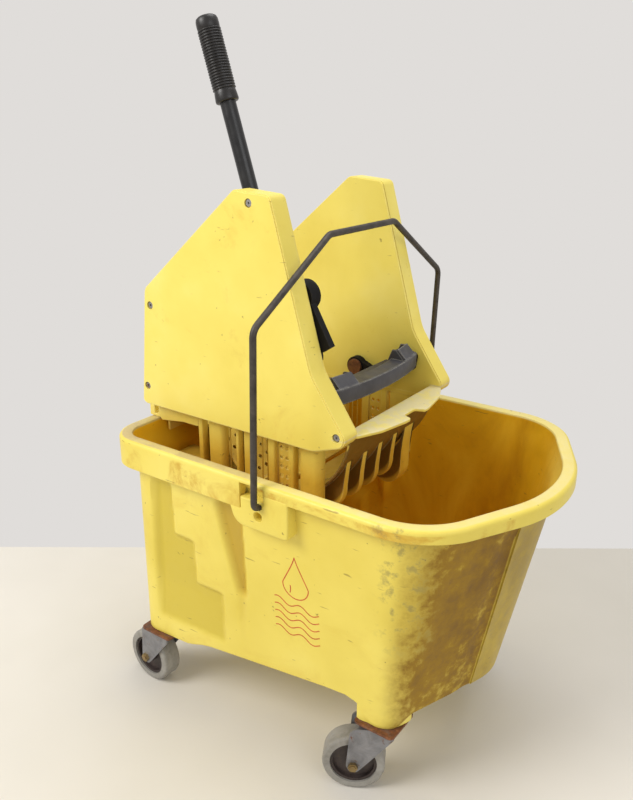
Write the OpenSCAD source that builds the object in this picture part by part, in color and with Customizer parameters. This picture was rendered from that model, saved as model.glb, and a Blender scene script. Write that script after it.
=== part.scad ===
// Wheeled mop bucket with a geared down-press wringer, in millimetres.
// +X is the bucket's rounded pouring end, +Y is the side away from the press lever, +Z is up.
// The origin is on the floor, under the middle of the whole; x is measured from the middle
// of the rim, and every piece is moved by the difference at the end.

/* [Bucket] */
// Height of the rim's top face above the floor
rim_height = 408; // [390:1:430]
// Length over the rim
rim_length = 564; // [552:1:590]
// Width over the rim
rim_width = 406; // [396:1:420]
// Width of the flat rolled rim
rim_flange = 18; // [15:1:20]
// Corner radius at the rim's rear
rim_rear_radius = 47; // [35:1:60]
// Corner radius at the rim's front shoulders
rim_shoulder_radius = 98; // [80:1:104]
// How far the front shoulder corners lie behind the nose
shoulder_setback = 76; // [66:1:84]
// Half width of the rim's blunt front
spout_half = 54; // [48:1:60]
// How far the blunt front's corners lie behind the nose
spout_setback = 4; // [3:1:8]
// Half width of the wall's spout panel at the rim
crease_half = 58; // [50:1:64]
// How far the spout panel's edges lie behind the nose at the rim
crease_setback = 24; // [20:1:28]
// Depth of the rim's skirt behind the bail notch
deep_skirt = 40; // [30:1:50]
// Depth of the rim's skirt ahead of the bail notch
shallow_skirt = 16; // [12:1:20]
// Wall thickness of the bucket
bucket_wall = 4.5; // [4:0.5:6]
// Height of the feet's undersides above the floor
foot_height = 106; // [102:1:110]
// Height of the bucket's inside floor
floor_height = 147; // [144:1:156]
// Height of the side arches above the feet
side_arch = 32; // [20:1:34]
// Height of the front and rear arches above the feet
end_arch = 14; // [8:1:24]
// How far the rear wall leans in from rim to foot
rear_draft = 20; // [14:1:22]
// Depth of the stepped relief in the side walls
relief_depth = 7; // [4:0.5:9]
// Half width of the base at its rear corners
base_rear_half = 187; // [180:1:190]
// Half width of the base at its front corners
base_front_half = 165; // [158:1:172]
// Front corners of the base, measured from the middle
base_shoulder_x = 151; // [145:1:158]
// Spout corners of the base, measured from the middle
base_spout_x = 198; // [190:1:205]
// Half width of the spout panel at the base
base_spout_half = 42; // [35:1:50]
// How far the spout panel bulges at the base
base_spout_bulge = 14; // [8:1:16]

/* [Bail] */
// Diameter of the bail wire
bail_wire = 8; // [6:0.5:9]
// Bail pivot's distance behind the middle of the rim
bail_setback = 13; // [5:1:20]
// Depth of the bail pivot below the rim
bail_drop = 29; // [26:1:34]
// Height of the bail's shoulders above its pivot
bail_shoulder = 216; // [205:1:225]
// Height of the bail's grip bar above its pivot
bail_top = 301; // [296:1:310]
// Half length of the bail's grip bar
bail_bar_half = 74; // [60:1:85]
// How far each leg flares out from pivot to shoulder
bail_flare = 1; // [0.5:0.5:4]
// Forward lean of the stored bail, in degrees
bail_lean = 1.6; // [1:0.1:2.5]

/* [Wringer] */
// Distance between the outer faces of the side covers
wringer_width = 271; // [268:1:276]
// Depth of each side cover
cover_depth = 26.3; // [25:0.1:28]
// Wall thickness of covers and frame sides
panel = 3; // [2.5:0.1:3.5]
// Distance of the press pivot behind the middle of the rim
pivot_setback = 73; // [70:1:76]
// Height of the press pivot above the rim
pivot_rise = 56; // [54:1:60]
// Height of the covers above the rim
cover_top = 322; // [316:1:330]
// Height of the covers' lower edge above the rim
cover_bottom = 25; // [23:1:28]
// Height of the covers' rear knee above the rim
cover_knee = 187; // [182:1:192]
// Radius of the basket's curved front, inside
sweep_radius = 121; // [120.5:0.5:124]
// Thickness of the basket's curved front and floor
basket_wall = 4; // [3:0.5:5]
// Back face of the basket, measured from the middle
basket_rear = 203; // [198:1:207]
// Number of drain fins on the basket's front
fins = 6; // [4:1:7]
// Thickness of a drain fin
fin_thick = 7; // [5:0.5:9]
// Depth of the pilasters on the basket's sides
pilaster = 9; // [6:0.5:11]
// Radius of the perforations
drain_hole = 3; // [2:0.5:3.5]

/* [Press drive] */
// Gear module of both sectors
gear_module = 4; // [3.9:0.05:4.05]
// Teeth of a full circle of either gear
gear_teeth = 38; // [38:1:38]
// Direction from the press pivot to the lever pivot, in degrees
gear_line = 72.3; // [71:0.1:74]
// Circumferential backlash between the sectors
backlash = 0.5; // [0.3:0.05:0.7]
// Face width of the sectors
gear_face = 10; // [8:0.5:10.5]
// Radius of the lever shaft
lever_shaft_r = 8; // [7:0.5:9]
// Radius of the press pins
press_pin_r = 7; // [6:0.5:8]
// Radius of the lever hub's round boss
hub_boss_r = 19; // [17:0.5:22]
// Lever tube's outside radius
tube_r = 9.5; // [8.5:0.5:10.5]
// Lever tube's length from its socket's foot
tube_length = 331; // [310:1:335]
// Backward lean of the lever, in degrees
lever_lean = 17.8; // [15:0.1:20]
// Distance from the lever pivot to the tube's axis
lever_offset = 40.5; // [38:0.5:44]
// Length of the hand grip
grip_length = 97; // [85:1:115]
// Radius of the hand grip
grip_r = 12.3; // [11.5:0.1:13.5]
// Half width of the press plate's recess for the mop handle
recess_half = 47; // [40:1:52]

/* [Casters] */
// Diameter of a caster wheel
wheel_d = 80; // [74:1:82]
// Width of a caster's tyre
tyre_width = 28; // [24:1:30]
// Thickness of a caster's tread
tread = 10; // [8:0.5:12]
// Trail from a caster's kingpin to its axle
trail = 36; // [32:1:40]
// How far the front kingpins lie behind the nose
front_pin_setback = 150; // [147:1:155]
// Half distance between the front kingpins
front_pin_half = 144; // [140:1:146]
// How far the rear kingpins lie ahead of the rim's rear end
rear_pin_setback = 59; // [57:1:70]
// Half distance between the rear kingpins
rear_pin_half = 164; // [155:1:166]
// Radius of a caster's axle
axle_r = 4; // [3:0.5:5]

/* [Hidden] */

// Clearances
running = 0.06;                          // radial, a shaft in its bore
side_gap = 0.5;                          // beside a face that turns
eps = 0.01;
snug = 0.02;                             // radial, a piece held on another

// Bucket
arc_steps = 9;
rim_half = rim_width / 2;
rear_x = -rim_length / 2;
nose_x = rim_length / 2;
wall_inset = rim_flange - bucket_wall;   // outside of the wall behind the rim's edge
wall_half = rim_half - wall_inset;       // outside of the side wall at the rim
front_pin_x = nose_x - front_pin_setback;
rear_pin_x = -rear_x - rear_pin_setback;
skirt_wall = 3.5;
rim_round = 5;
boss_face = rim_half + 0.5;              // outer face of the bail bosses
boss_half = 46;

// Bail
bail_r = bail_wire / 2;
bail_x = -bail_setback;
bail_z = rim_height - bail_drop;
bail_bend = 16;                          // centre-line radius of the bail's bends
foot_bend = 8;                           // centre-line radius of the bends at its feet
bail_y = boss_face + foot_bend + side_gap;  // centre line of a leg at its pivot
bail_hook = 20;                          // length of the hooked ends
wire_lap = 0.4;                          // lap of the straight runs into the bends

// Wringer frame
cover_face = wringer_width / 2;          // outer face of a cover
frame_out = cover_face - cover_depth - 0.2;  // outer face of a frame side
frame_in = frame_out - panel;
pivot = [-pivot_setback, rim_height + pivot_rise];
gear_r = gear_module * gear_teeth / 2;
lever_pivot = pivot + 2 * gear_r * [cos(gear_line), sin(gear_line)];
basket_floor = pivot.y - sweep_radius - basket_wall;
fin_bottom = basket_floor - 18;
fin_front = 34;                          // front of the fins at their feet
lip_z = rim_height + 44;
lip_rear = 45.5;
lip_front = 83;
lip_thick = 3.5;
cover_low = rim_height + cover_bottom;

// Outline of a wringer side as seen from the near side, [x, z, corner radius]
side_corners = [
    [-274, cover_low, 7],
    [16, cover_low - 1, 40],
    [67, rim_height + 42, 12],
    [13, rim_height + 120, 60],
    [-44, rim_height + cover_top - 4, 9],
    [-97, rim_height + cover_top, 9],
    [-256, rim_height + cover_knee, 14]
];
screw_places = [
    [-75, rim_height + cover_top - 14],
    [-247, rim_height + cover_knee - 21],
    [-262, rim_height + 52],
    [49, rim_height + 50]
];
screw_r = 2;
screw_head_r = 4.2;

// Press drive
gear_in = frame_in - 1.5 - gear_face;    // inner face of the sectors
gear_out = gear_in + gear_face;
press_half = gear_in - 2 * side_gap;     // half width of the press plate
tip_r = gear_r + gear_module;
root_r = gear_r - 1.25 * gear_module;
base_r = gear_r * cos(20);
pitch_angle = 360 / gear_teeth;
bush_wall = 3;
bush_flange = 3;
spring_wire = 2.4;
spring_turns = 5;
lever_dir = [-sin(lever_lean), cos(lever_lean)];
lever_back = [-cos(lever_lean), -sin(lever_lean)];
tube_y = gear_out - tube_r - 3;
socket_r = tube_r + 3.5;
tube_foot = lever_pivot + lever_offset * lever_back;
clip_thick = 1.6;
bolt_r = 3;
bolt_head_r = 5;
bolt_head = 4;
bolt_places = [18, 46];                  // heights above the foot of the tube

// Casters
plate_thick = 3;
plate_half = 28;                         // half width of a caster's top plate
race_thick = 4;
fork_top = foot_height - plate_thick - race_thick - side_gap;
fork_thick = 2.5;
fork_gap = tyre_width + 3;               // between the inner faces of a fork's legs
fork_r = 22;
kingpin_r = 6;
wheel_r = wheel_d / 2;
hub_r = wheel_r - tread;
front_near = [front_pin_x, -front_pin_half, 208];
front_far = [front_pin_x, front_pin_half, 196];
rear_near = [-rear_pin_x, -rear_pin_half, 176];
rear_far = [-rear_pin_x, rear_pin_half, 160];
caster_places = [front_near, front_far, rear_near, rear_far];
middle_shift = (rear_pin_x + trail + wheel_r - nose_x) / 2;

function unit(v) = v / norm(v);

// Arc of radius b.z that rounds corner b between its neighbours a and c
function corner_arc(a, b, c, n) =
    let (
        u = unit([a.x - b.x, a.y - b.y]),
        v = unit([c.x - b.x, c.y - b.y]),
        half = acos(u * v) / 2,
        o = [b.x, b.y] + unit(u + v) * b.z / sin(half),
        s = [b.x, b.y] + u * b.z / tan(half) - o,
        e = [b.x, b.y] + v * b.z / tan(half) - o,
        a0 = atan2(s.y, s.x),
        turn = (atan2(e.y, e.x) - a0 + 540) % 360 - 180
    )
    [for (i = [0:n]) o + b.z * [cos(a0 + turn * i / n), sin(a0 + turn * i / n)]];

function rounded(c, n = arc_steps) =
    let (m = len(c))
    [for (i = [0:m - 1]) each corner_arc(c[(i + m - 1) % m], c[i], c[(i + 1) % m], n)];

// Corners of an anticlockwise outline moved outwards by d, with their radii
function grown(c, d) =
    let (m = len(c))
    [for (i = [0:m - 1])
        let (
            a = c[(i + m - 1) % m], b = c[i], e = c[(i + 1) % m],
            p = unit([b.y - a.y, a.x - b.x]),
            q = unit([e.y - b.y, b.x - e.x]),
            s = d * (p + q) / (1 + p * q)
        )
        [b.x + s.x, b.y + s.y, b.z + d]];

function blended(c, d, t) = c + (d - c) * t;
function at_height(points, z) = [for (p = points) [p.x, p.y, z]];

// Solid through a stack of outlines that all have the same number of points
module loft(rings) {
    m = len(rings[0]);
    k = len(rings);
    sides = [for (i = [0:k - 2], j = [0:m - 1])
        let (a = i * m + j, b = i * m + (j + 1) % m)
        each [[a, a + m, b + m], [a, b + m, b]]];
    ends = [[for (j = [0:m - 1]) j], [for (j = [m - 1:-1:0]) (k - 1) * m + j]];
    polyhedron([for (r = rings) each r], concat(sides, ends));
}

// Flat plate in the XZ plane between y0 and y1
module side_plate(points, y0, y1) {
    translate([0, y1, 0])
        rotate([90, 0, 0])
            linear_extrude(y1 - y0)
                polygon(points);
}

// Round bar along Y, centred on place [x, z], between y0 and y1
module cross_bar(place, r, y0, y1, sides = 48) {
    translate([place.x, y1, place.y])
        rotate([90, 0, 0])
            cylinder(r = r, h = y1 - y0, $fn = sides);
}

module both_sides() {
    children();
    mirror([0, 1, 0]) children();
}

// ---------------------------------------------------------------- bucket

rim_corners = [
    [rear_x, -rim_half, rim_rear_radius],
    [nose_x - shoulder_setback, -rim_half, rim_shoulder_radius],
    [nose_x - spout_setback, -spout_half, 100],
    [nose_x, 0, 300],
    [nose_x - spout_setback, spout_half, 100],
    [nose_x - shoulder_setback, rim_half, rim_shoulder_radius],
    [rear_x, rim_half, rim_rear_radius]
];
base_rear_x = rear_x + wall_inset + rear_draft;
base_corners = [
    [base_rear_x, -base_rear_half, rim_rear_radius - wall_inset],
    [base_shoulder_x, -base_front_half, 30],
    [base_spout_x, -base_spout_half, 8],
    [base_spout_x + base_spout_bulge, 0, 80],
    [base_spout_x, base_spout_half, 8],
    [base_shoulder_x, base_front_half, 30],
    [base_rear_x, base_rear_half, rim_rear_radius - wall_inset]
];
inset_corners = grown(rim_corners, -wall_inset);
wall_corners = [
    inset_corners[0],
    inset_corners[1],
    [nose_x - crease_setback, -crease_half, 10],
    [nose_x - wall_inset, 0, 150],
    [nose_x - crease_setback, crease_half, 10],
    inset_corners[5],
    inset_corners[6]
];

// Outside of the bucket's wall at height z, moved outwards by d
function wall_ring(z, d) =
    let (t = (rim_height - z) / (rim_height - foot_height))
    at_height(rounded(grown(blended(wall_corners, base_corners, t), d)), z);
function rim_ring(z, d) = at_height(rounded(grown(rim_corners, d)), z);

module rim_skirt(depth) {
    difference() {
        loft([
            rim_ring(rim_height - depth, 0),
            rim_ring(rim_height - rim_round, 0),
            rim_ring(rim_height - 0.3 * rim_round, -0.3 * rim_round),
            rim_ring(rim_height, -rim_round)
        ]);
        loft([
            rim_ring(rim_height - depth - 1, -skirt_wall),
            rim_ring(rim_height - skirt_wall, -skirt_wall)
        ]);
    }
}

// Openings under the base: one arch along each side and one across each end
module base_arches() {
    z0 = foot_height - 1;
    side_plate(
        rounded([
            [-rear_pin_x + 62, z0, 1],
            [front_pin_x - 20, z0, 1],
            [front_pin_x - 42, foot_height + side_arch, 18],
            [-rear_pin_x + 90, foot_height + side_arch / 3, 20]
        ]),
        -rim_half, rim_half
    );
    for (x = [rear_x, front_pin_x + 5])
        translate([x, 0, z0])
            rotate([90, 0, 90])
                linear_extrude(150 + (x < 0 ? -90 : 0))
                    polygon(rounded([
                        [-front_pin_half + 30, 0, 1],
                        [front_pin_half - 30, 0, 1],
                        [front_pin_half - 52, end_arch + 1, 12],
                        [-front_pin_half + 52, end_arch + 1, 12]
                    ]));
}

// Stepped recess behind the pads of each side wall, and the valley ahead of them
relief_top = rim_height - 52;
relief_step = 68;
relief_left = -212;
pad_edges = [-177, -143, -98];
recess_corners = [
    [relief_left, relief_top, 3],
    [relief_left, relief_top - 3.2 * relief_step, 12],
    [pad_edges[2], relief_top - 3.2 * relief_step, 3],
    [pad_edges[2], relief_top - 2 * relief_step, 3],
    [pad_edges[1], relief_top - 2 * relief_step, 3],
    [pad_edges[1], relief_top - relief_step, 3],
    [pad_edges[0], relief_top - relief_step, 3],
    [pad_edges[0], relief_top, 3]
];
valley_corners = [
    [pad_edges[2], relief_top, 2],
    [pad_edges[2] + 16, relief_top - 72, 2],
    [pad_edges[2] + 29, relief_top - 126, 2],
    [pad_edges[2] + 41, relief_top - 126, 2],
    [pad_edges[2] + 41, relief_top, 2]
];

// Relief of the given depth below the wall's outside, grown by d all round
module relief(depth, d) {
    both_sides()
        difference() {
            for (c = [recess_corners, valley_corners])
                side_plate(rounded(grown(c, d), 3), -rim_half, -wall_half + 40);
            loft([wall_ring(foot_height - 5, -depth), wall_ring(rim_height + 5, -depth)]);
        }
}

module bail_boss() {
    low = rim_height - 66;
    side_plate(
        rounded([
            [bail_x + boss_half - 3, low, 16],
            [bail_x + boss_half, rim_height - shallow_skirt + 2, 1],
            [bail_x - boss_half, rim_height - deep_skirt + 2, 1],
            [bail_x - boss_half + 8, low, 22]
        ]),
        -boss_face, -wall_half + bucket_wall
    );
}

module bucket() {
    color([0.90, 0.80, 0.32])
    difference() {
        union() {
            loft([wall_ring(foot_height, 0), wall_ring(rim_height - skirt_wall + 1, 0)]);
            rim_skirt(shallow_skirt);
            intersection() {
                rim_skirt(deep_skirt);
                translate([rear_x - 5, -rim_half - 5, 0])
                    cube([bail_x - 29 - rear_x + 5, rim_width + 10, rim_height + 5]);
            }
            both_sides() bail_boss();
        }
        // inside of the bucket, which follows the relief
        difference() {
            loft([wall_ring(floor_height, -bucket_wall), wall_ring(rim_height + 5, -bucket_wall)]);
            relief(relief_depth + bucket_wall, bucket_wall);
        }
        relief(relief_depth, 0);
        // hollow under the floor, between the feet
        difference() {
            loft([
                wall_ring(foot_height - 5, -bucket_wall),
                wall_ring(floor_height - bucket_wall, -bucket_wall)
            ]);
            for (p = caster_places)
                translate([p.x, p.y, foot_height])
                    cylinder(r = 34, h = 60, $fn = 32);
        }
        base_arches();
        both_sides() {
            // pocket in the skirt behind the bail's leg
            translate([bail_x - 29, -rim_half - 5, bail_z + bail_r + 2])
                cube([35, 14, bail_drop - bail_r - 7]);
            // bore for the bail's hooked end and the spare hole under it
            cross_bar([bail_x, bail_z], bail_r + running, -boss_face - 1, -wall_half - 2);
            cross_bar([bail_x + 2, bail_z - 15], 4.5, -boss_face - 1, -boss_face + 10);
        }
        // screw holes in the feet
        for (p = caster_places)
            plate_screw_places(p)
                translate([0, 0, foot_height - 1])
                    cylinder(r = screw_r, h = 19, $fn = 24);
    }
}

// ---------------------------------------------------------------- bail

// Straight run of wire between two places [y, z]
module wire(a, b) {
    d = b - a;
    translate([0, a.x, a.y])
        rotate([atan2(-d.x, d.y), 0, 0])
            translate([0, 0, -wire_lap])
                cylinder(r = bail_r, h = norm(d) + 2 * wire_lap, $fn = 24);
}

// True bend of wire, r in radius, that rounds corner b between places a and c
module bend(a, b, c, r) {
    u = unit(a - b);
    v = unit(c - b);
    half = acos(u * v) / 2;
    o = b + unit(u + v) * r / sin(half);
    s = b + u * r / tan(half) - o;
    e = b + v * r / tan(half) - o;
    turn = (atan2(e.y, e.x) - atan2(s.y, s.x) + 540) % 360 - 180;
    from = turn > 0 ? s : e;
    translate([0, o.x, o.y])
        rotate([90, 0, 90])
            rotate([0, 0, atan2(from.y, from.x)])
                rotate_extrude(angle = abs(turn), $fn = 96)
                    translate([r, 0])
                        circle(r = bail_r - 0.05, $fn = 24);
}

// Where a run between corners b and c leaves the bend at b
function leave(a, b, c, r) =
    b + unit(c - b) * r / tan(acos(unit(a - b) * unit(c - b)) / 2);

module bail() {
    path = [
        [-bail_y + bail_hook, 0],
        [-bail_y, 0],
        [-bail_y - bail_flare, bail_shoulder],
        [-bail_bar_half, bail_top],
        [bail_bar_half, bail_top],
        [bail_y + bail_flare, bail_shoulder],
        [bail_y, 0],
        [bail_y - bail_hook, 0]
    ];
    m = len(path);
    radii = [for (i = [0:m - 1]) i < 2 || i > m - 3 ? foot_bend : bail_bend];
    color([0.27, 0.24, 0.21])
    translate([bail_x, 0, bail_z])
        rotate([0, bail_lean, 0]) {
            for (i = [1:m - 2]) bend(path[i - 1], path[i], path[i + 1], radii[i]);
            for (i = [0:m - 2])
                wire(
                    i == 0 ? path[0] : leave(path[i - 1], path[i], path[i + 1], radii[i]),
                    i == m - 2 ? path[m - 1]
                        : leave(path[i + 2], path[i + 1], path[i], radii[i + 1])
                );
        }
}

// ---------------------------------------------------------------- wringer, fixed parts

// Side of the basket as seen from the near side
basket_corners = [
    [-basket_rear, basket_floor, 14],
    [fin_front - 40, basket_floor, 20],
    [48, cover_low + 4, 1],
    [-basket_rear, cover_low + 4, 1]
];
saddle_corners = [
    [rear_x + 3, rim_height + 0.4, 2],
    [-basket_rear + 20, rim_height + 0.4, 2],
    [-basket_rear + 20, cover_low + 4, 2],
    [rear_x + 3, cover_low + 4, 2]
];
fin_corners = [
    [-70, fin_bottom, 3],
    [fin_front, fin_bottom, 28],
    [62, lip_z - lip_thick + 1, 3],
    [-70, lip_z - lip_thick + 1, 3]
];
fin_pitch = 2 * (frame_in - 18) / (fins - 1);
pilaster_spans = [[-203, -194], [-186, -158], [-136, -133], [-126, -113], [-89, -70], [-46, -38]];

module sweep_bore(r) {
    cross_bar(pivot, r, -frame_out - 20, frame_out + 20, 96);
}

module basket_front() {
    // curved wall, true arc about the press pivot
    translate([pivot.x, frame_out, pivot.y])
        rotate([90, 0, 0])
            rotate([0, 0, -90])
                rotate_extrude(angle = 84, $fn = 96)
                    translate([sweep_radius, 0])
                        square([basket_wall, 2 * frame_out]);
    // fins and the two solid corner columns
    difference() {
        union() {
            for (i = [0:fins - 1]) {
                y = -frame_in + 18 + i * fin_pitch;
                side_plate(rounded(fin_corners, 6), y - fin_thick / 2, y + fin_thick / 2);
            }
            both_sides()
                intersection() {
                    side_plate(rounded(fin_corners, 6), -frame_out - pilaster, -frame_in + 6);
                    translate([0, 0, fin_bottom - 1])
                        linear_extrude(200)
                            polygon(rounded([
                                [-34, -frame_out - pilaster, 4],
                                [64, -frame_out - pilaster, 14],
                                [64, -frame_in + 6, 1],
                                [-34, -frame_in + 6, 3]
                            ], 6));
                }
        }
        sweep_bore(sweep_radius + 1);
    }
}

// Drain slots between the fins
module front_slots() {
    for (i = [0:fins - 2]) {
        y = -frame_in + 18 + (i + 0.5) * fin_pitch;
        w = fin_pitch - fin_thick - 8;
        side_plate(
            concat(
                [for (a = [-78:9:-24]) pivot + (sweep_radius - 3) * [cos(a), sin(a)]],
                [for (a = [-24:-9:-78]) pivot + (sweep_radius + basket_wall + 3) * [cos(a), sin(a)]]
            ),
            y - w / 2, y + w / 2
        );
    }
}

module front_lip() {
    notch = 17;
    translate([0, 0, lip_z - lip_thick])
        linear_extrude(lip_thick)
            polygon([
                [lip_rear, -frame_out], [58, -frame_out], [lip_front - 12, -80], [lip_front - 2, -35],
                [lip_front, -notch], [lip_front - 13, -notch + 2], [lip_front - 13, notch - 2],
                [lip_front, notch], [lip_front - 2, 35], [lip_front - 12, 80], [58, frame_out],
                [lip_rear, frame_out]
            ]);
}

// How far the bucket's rear wall stands in from its place at the rim, at height z
function wall_lean(z) = rear_draft * (rim_height - z) / (rim_height - foot_height);

module wringer_frame() {
    saddle_low = rim_height + 0.4;
    hook_x = rear_x + rim_flange + 1 + wall_lean(saddle_low - 26);
    bumper_x = rear_x + rim_flange + 1 + wall_lean(basket_floor + 8);
    color([0.88, 0.76, 0.26])
    difference() {
        union() {
            both_sides() {
                side_plate(rounded(grown(side_corners, -0.4)), -frame_out, -frame_in);
                side_plate(rounded(basket_corners, 6), -frame_out, -frame_in);
                side_plate(rounded(saddle_corners, 3), -frame_out - pilaster, -frame_in);
                for (s = pilaster_spans)
                    translate([s[0], -frame_out - pilaster, basket_floor + 12])
                        cube([s[1] - s[0], pilaster + 1, cover_low - basket_floor - 12.3]);
            }
            basket_front();
            front_lip();
            // floor, rear wall, saddle plate over the rear rim and its hook inside the bucket
            translate([-basket_rear, -frame_out, basket_floor])
                cube([basket_rear - pivot_setback + 1, 2 * frame_out, basket_wall]);
            translate([-basket_rear, -frame_out, basket_floor])
                cube([basket_wall, 2 * frame_out, cover_low - basket_floor]);
            translate([rear_x + 3, -frame_out, saddle_low])
                cube([-basket_rear - rear_x, 2 * frame_out, basket_wall]);
            translate([hook_x, -frame_out, saddle_low - 26])
                cube([basket_wall, 2 * frame_out, 27]);
            // bumpers that lean on the bucket's rear wall
            both_sides()
                translate([bumper_x, -frame_out + 12, basket_floor + 8])
                    cube([1 - basket_rear - bumper_x, 30, 20]);
        }
        front_slots();
        both_sides() {
            // seat of the side cover
            side_plate(rounded(grown(side_corners, 0.3)), -cover_face, -frame_out);
            // perforations between the pilasters, two columns
            for (x = [-62, -53], i = [0:3])
                cross_bar([x, basket_floor + 24 + 16 * i], drain_hole, -frame_out - 1, -frame_in + 1, 24);
            // openings beside the narrow pilasters
            for (x = [-151, -107])
                side_plate(
                    rounded([
                        [x, basket_floor + 18, 4],
                        [x + 11, basket_floor + 18, 4],
                        [x + 11, cover_low - 12, 4],
                        [x, cover_low - 12, 4]
                    ], 4),
                    -frame_out - 1, -frame_in + 1
                );
            // slot in the saddle cheek
            translate([rear_x + 10, -frame_out - pilaster - 1, saddle_low + 3])
                cube([7, pilaster + panel + 2, 22]);
            for (p = screw_places)
                cross_bar(p, screw_r, -frame_out - 1, -frame_in + 1, 24);
            cross_bar(pivot, press_pin_r + bush_wall, -frame_out - 1, -frame_in + 1);
        }
        cross_bar(lever_pivot, lever_shaft_r + bush_wall, -frame_out - 1, -frame_in + 1);
        // drain holes in the floor
        for (x = [-180:20:-100], y = [-80:20:80])
            translate([x, y, basket_floor - 1])
                cylinder(r = drain_hole, h = basket_wall + 2, $fn = 24);
    }
}

// Sloping perforated plate that the mop is squeezed against
module sieve_plate() {
    top = [-basket_rear + basket_wall + 3, cover_low - 6];
    foot = [pivot.x - 34, basket_floor + basket_wall + 0.2];
    slope = atan2(top.y - foot.y, top.x - foot.x);
    run = norm(top - foot);
    color([0.55, 0.40, 0.10])
    difference() {
        translate([foot.x, -frame_in + 0.3, foot.y])
            rotate([0, -slope, 0])
                cube([run, 2 * frame_in - 0.6, panel]);
        for (s = [14:14:run - 10], y = [-90:15:90])
            translate([foot.x + s * cos(slope), y, foot.y + s * sin(slope)])
                rotate([0, -slope, 0])
                    translate([0, 0, -2])
                        cylinder(r = drain_hole, h = panel + 4, $fn = 24);
        // squared off where it stands on the floor
        translate([foot.x - 20, -frame_in, basket_floor - 10])
            cube([60, 2 * frame_in, basket_wall + 10.2]);
    }
}

// Hollow side cover, as on the near side
module side_cover() {
    inner = -frame_out - 0.2;
    color([0.96, 0.87, 0.42])
    difference() {
        union() {
            difference() {
                union() {
                    side_plate(rounded(side_corners), -cover_face + 1.5, inner);
                    side_plate(rounded(grown(side_corners, -1.5)), -cover_face, -cover_face + 2);
                }
                side_plate(rounded(grown(side_corners, -panel)), -cover_face + panel, inner + 1);
            }
            for (p = screw_places)
                cross_bar(p, 6.5, -cover_face + panel - 1, inner);
            cross_bar(lever_pivot, lever_shaft_r + 8.5, -cover_face + panel - 1, -cover_face + 10);
            cross_bar(pivot, press_pin_r + 8.5, -cover_face + panel - 1, -cover_face + 10);
        }
        for (p = screw_places) {
            cross_bar(p, screw_r + 0.15, -cover_face - 1, inner + 1, 24);
            cross_bar(p, screw_head_r + 1.1, -cover_face - 1, -cover_face + 4.5);
        }
        cross_bar(lever_pivot, lever_shaft_r + running, -cover_face + panel + 1, inner + 1);
        cross_bar(pivot, press_pin_r + running, -cover_face + panel + 1, inner + 1);
    }
}

module near_cover() {
    side_cover();
}

module far_cover() {
    mirror([0, 1, 0]) side_cover();
}

module cover_screws() {
    seat = -cover_face + 4.5;
    color([0.45, 0.43, 0.40])
    both_sides()
        for (p = screw_places)
            difference() {
                union() {
                    cross_bar(p, screw_head_r, seat - 3, seat, 32);
                    cross_bar(p, screw_r, seat - 1, -frame_in - 0.5, 24);
                }
                cross_bar(p, 1.6, seat - 4, seat - 1.5, 6);
            }
}

// Flanged plain bush in a frame side
module frame_bush(place, bore) {
    difference() {
        union() {
            cross_bar(place, bore + bush_wall, -frame_out - bush_flange, -frame_in);
            cross_bar(place, bore + bush_wall + 1.5, -frame_out - bush_flange, -frame_out);
        }
        cross_bar(place, bore + running, -frame_out - bush_flange - 1, -frame_in + 1);
    }
}

module lever_bush() {
    color([0.85, 0.84, 0.78]) frame_bush(lever_pivot, lever_shaft_r);
}

module press_bushes() {
    color([0.85, 0.84, 0.78]) both_sides() frame_bush(pivot, press_pin_r);
}

// Close-wound return spring that bears on a cover's boss
module torsion_spring(place, bore) {
    mid_r = bore + spring_wire / 2 + 1.8;
    translate([place.x, -cover_face + 10, place.y])
        rotate([-90, 0, 0])
            rotate_extrude($fn = 48)
                union() {
                    for (i = [0:spring_turns - 1])
                        translate([mid_r, spring_wire * (i * 0.9 + 0.5)])
                            circle(r = spring_wire / 2, $fn = 16);
                    translate([mid_r - 0.5, 0])
                        square([1, spring_wire * 0.9 * (spring_turns - 0.5)]);
                }
}

module lever_spring() {
    color([0.35, 0.34, 0.33]) torsion_spring(lever_pivot, lever_shaft_r);
}

module press_spring() {
    color([0.35, 0.34, 0.33])
        mirror([0, 1, 0]) torsion_spring(pivot, press_pin_r);
}

// ---------------------------------------------------------------- press drive, moving parts

function inv(a) = tan(a) * 180 / PI - a;
// Half the angle that a tooth fills at radius r
function tooth_half(r) =
    90 / gear_teeth - backlash / (2 * gear_r) * 180 / PI + inv(20) - inv(acos(base_r / r));
function tooth(at) =
    let (radii = [for (i = [0:4]) base_r + 0.01 + (tip_r - base_r - 0.01) * i / 4])
    concat(
        [polar(root_r, at - tooth_half(radii[0]))],
        [for (r = radii) polar(r, at - tooth_half(r))],
        [for (i = [4:-1:0]) polar(radii[i], at + tooth_half(radii[i]))],
        [polar(root_r, at + tooth_half(radii[0]))]
    );
function polar(r, a) = r * [cos(a), sin(a)];
// Toothed sector about place: teeth numbered first to last from the line of centres
function sector(place, line, first, last, shift) =
    [for (p = concat(
        [polar(6, line + 180 + (first + last) / 2 * pitch_angle)],
        [for (k = [first:last]) each tooth(line + (k + shift) * pitch_angle)]
    )) place + p];

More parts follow.
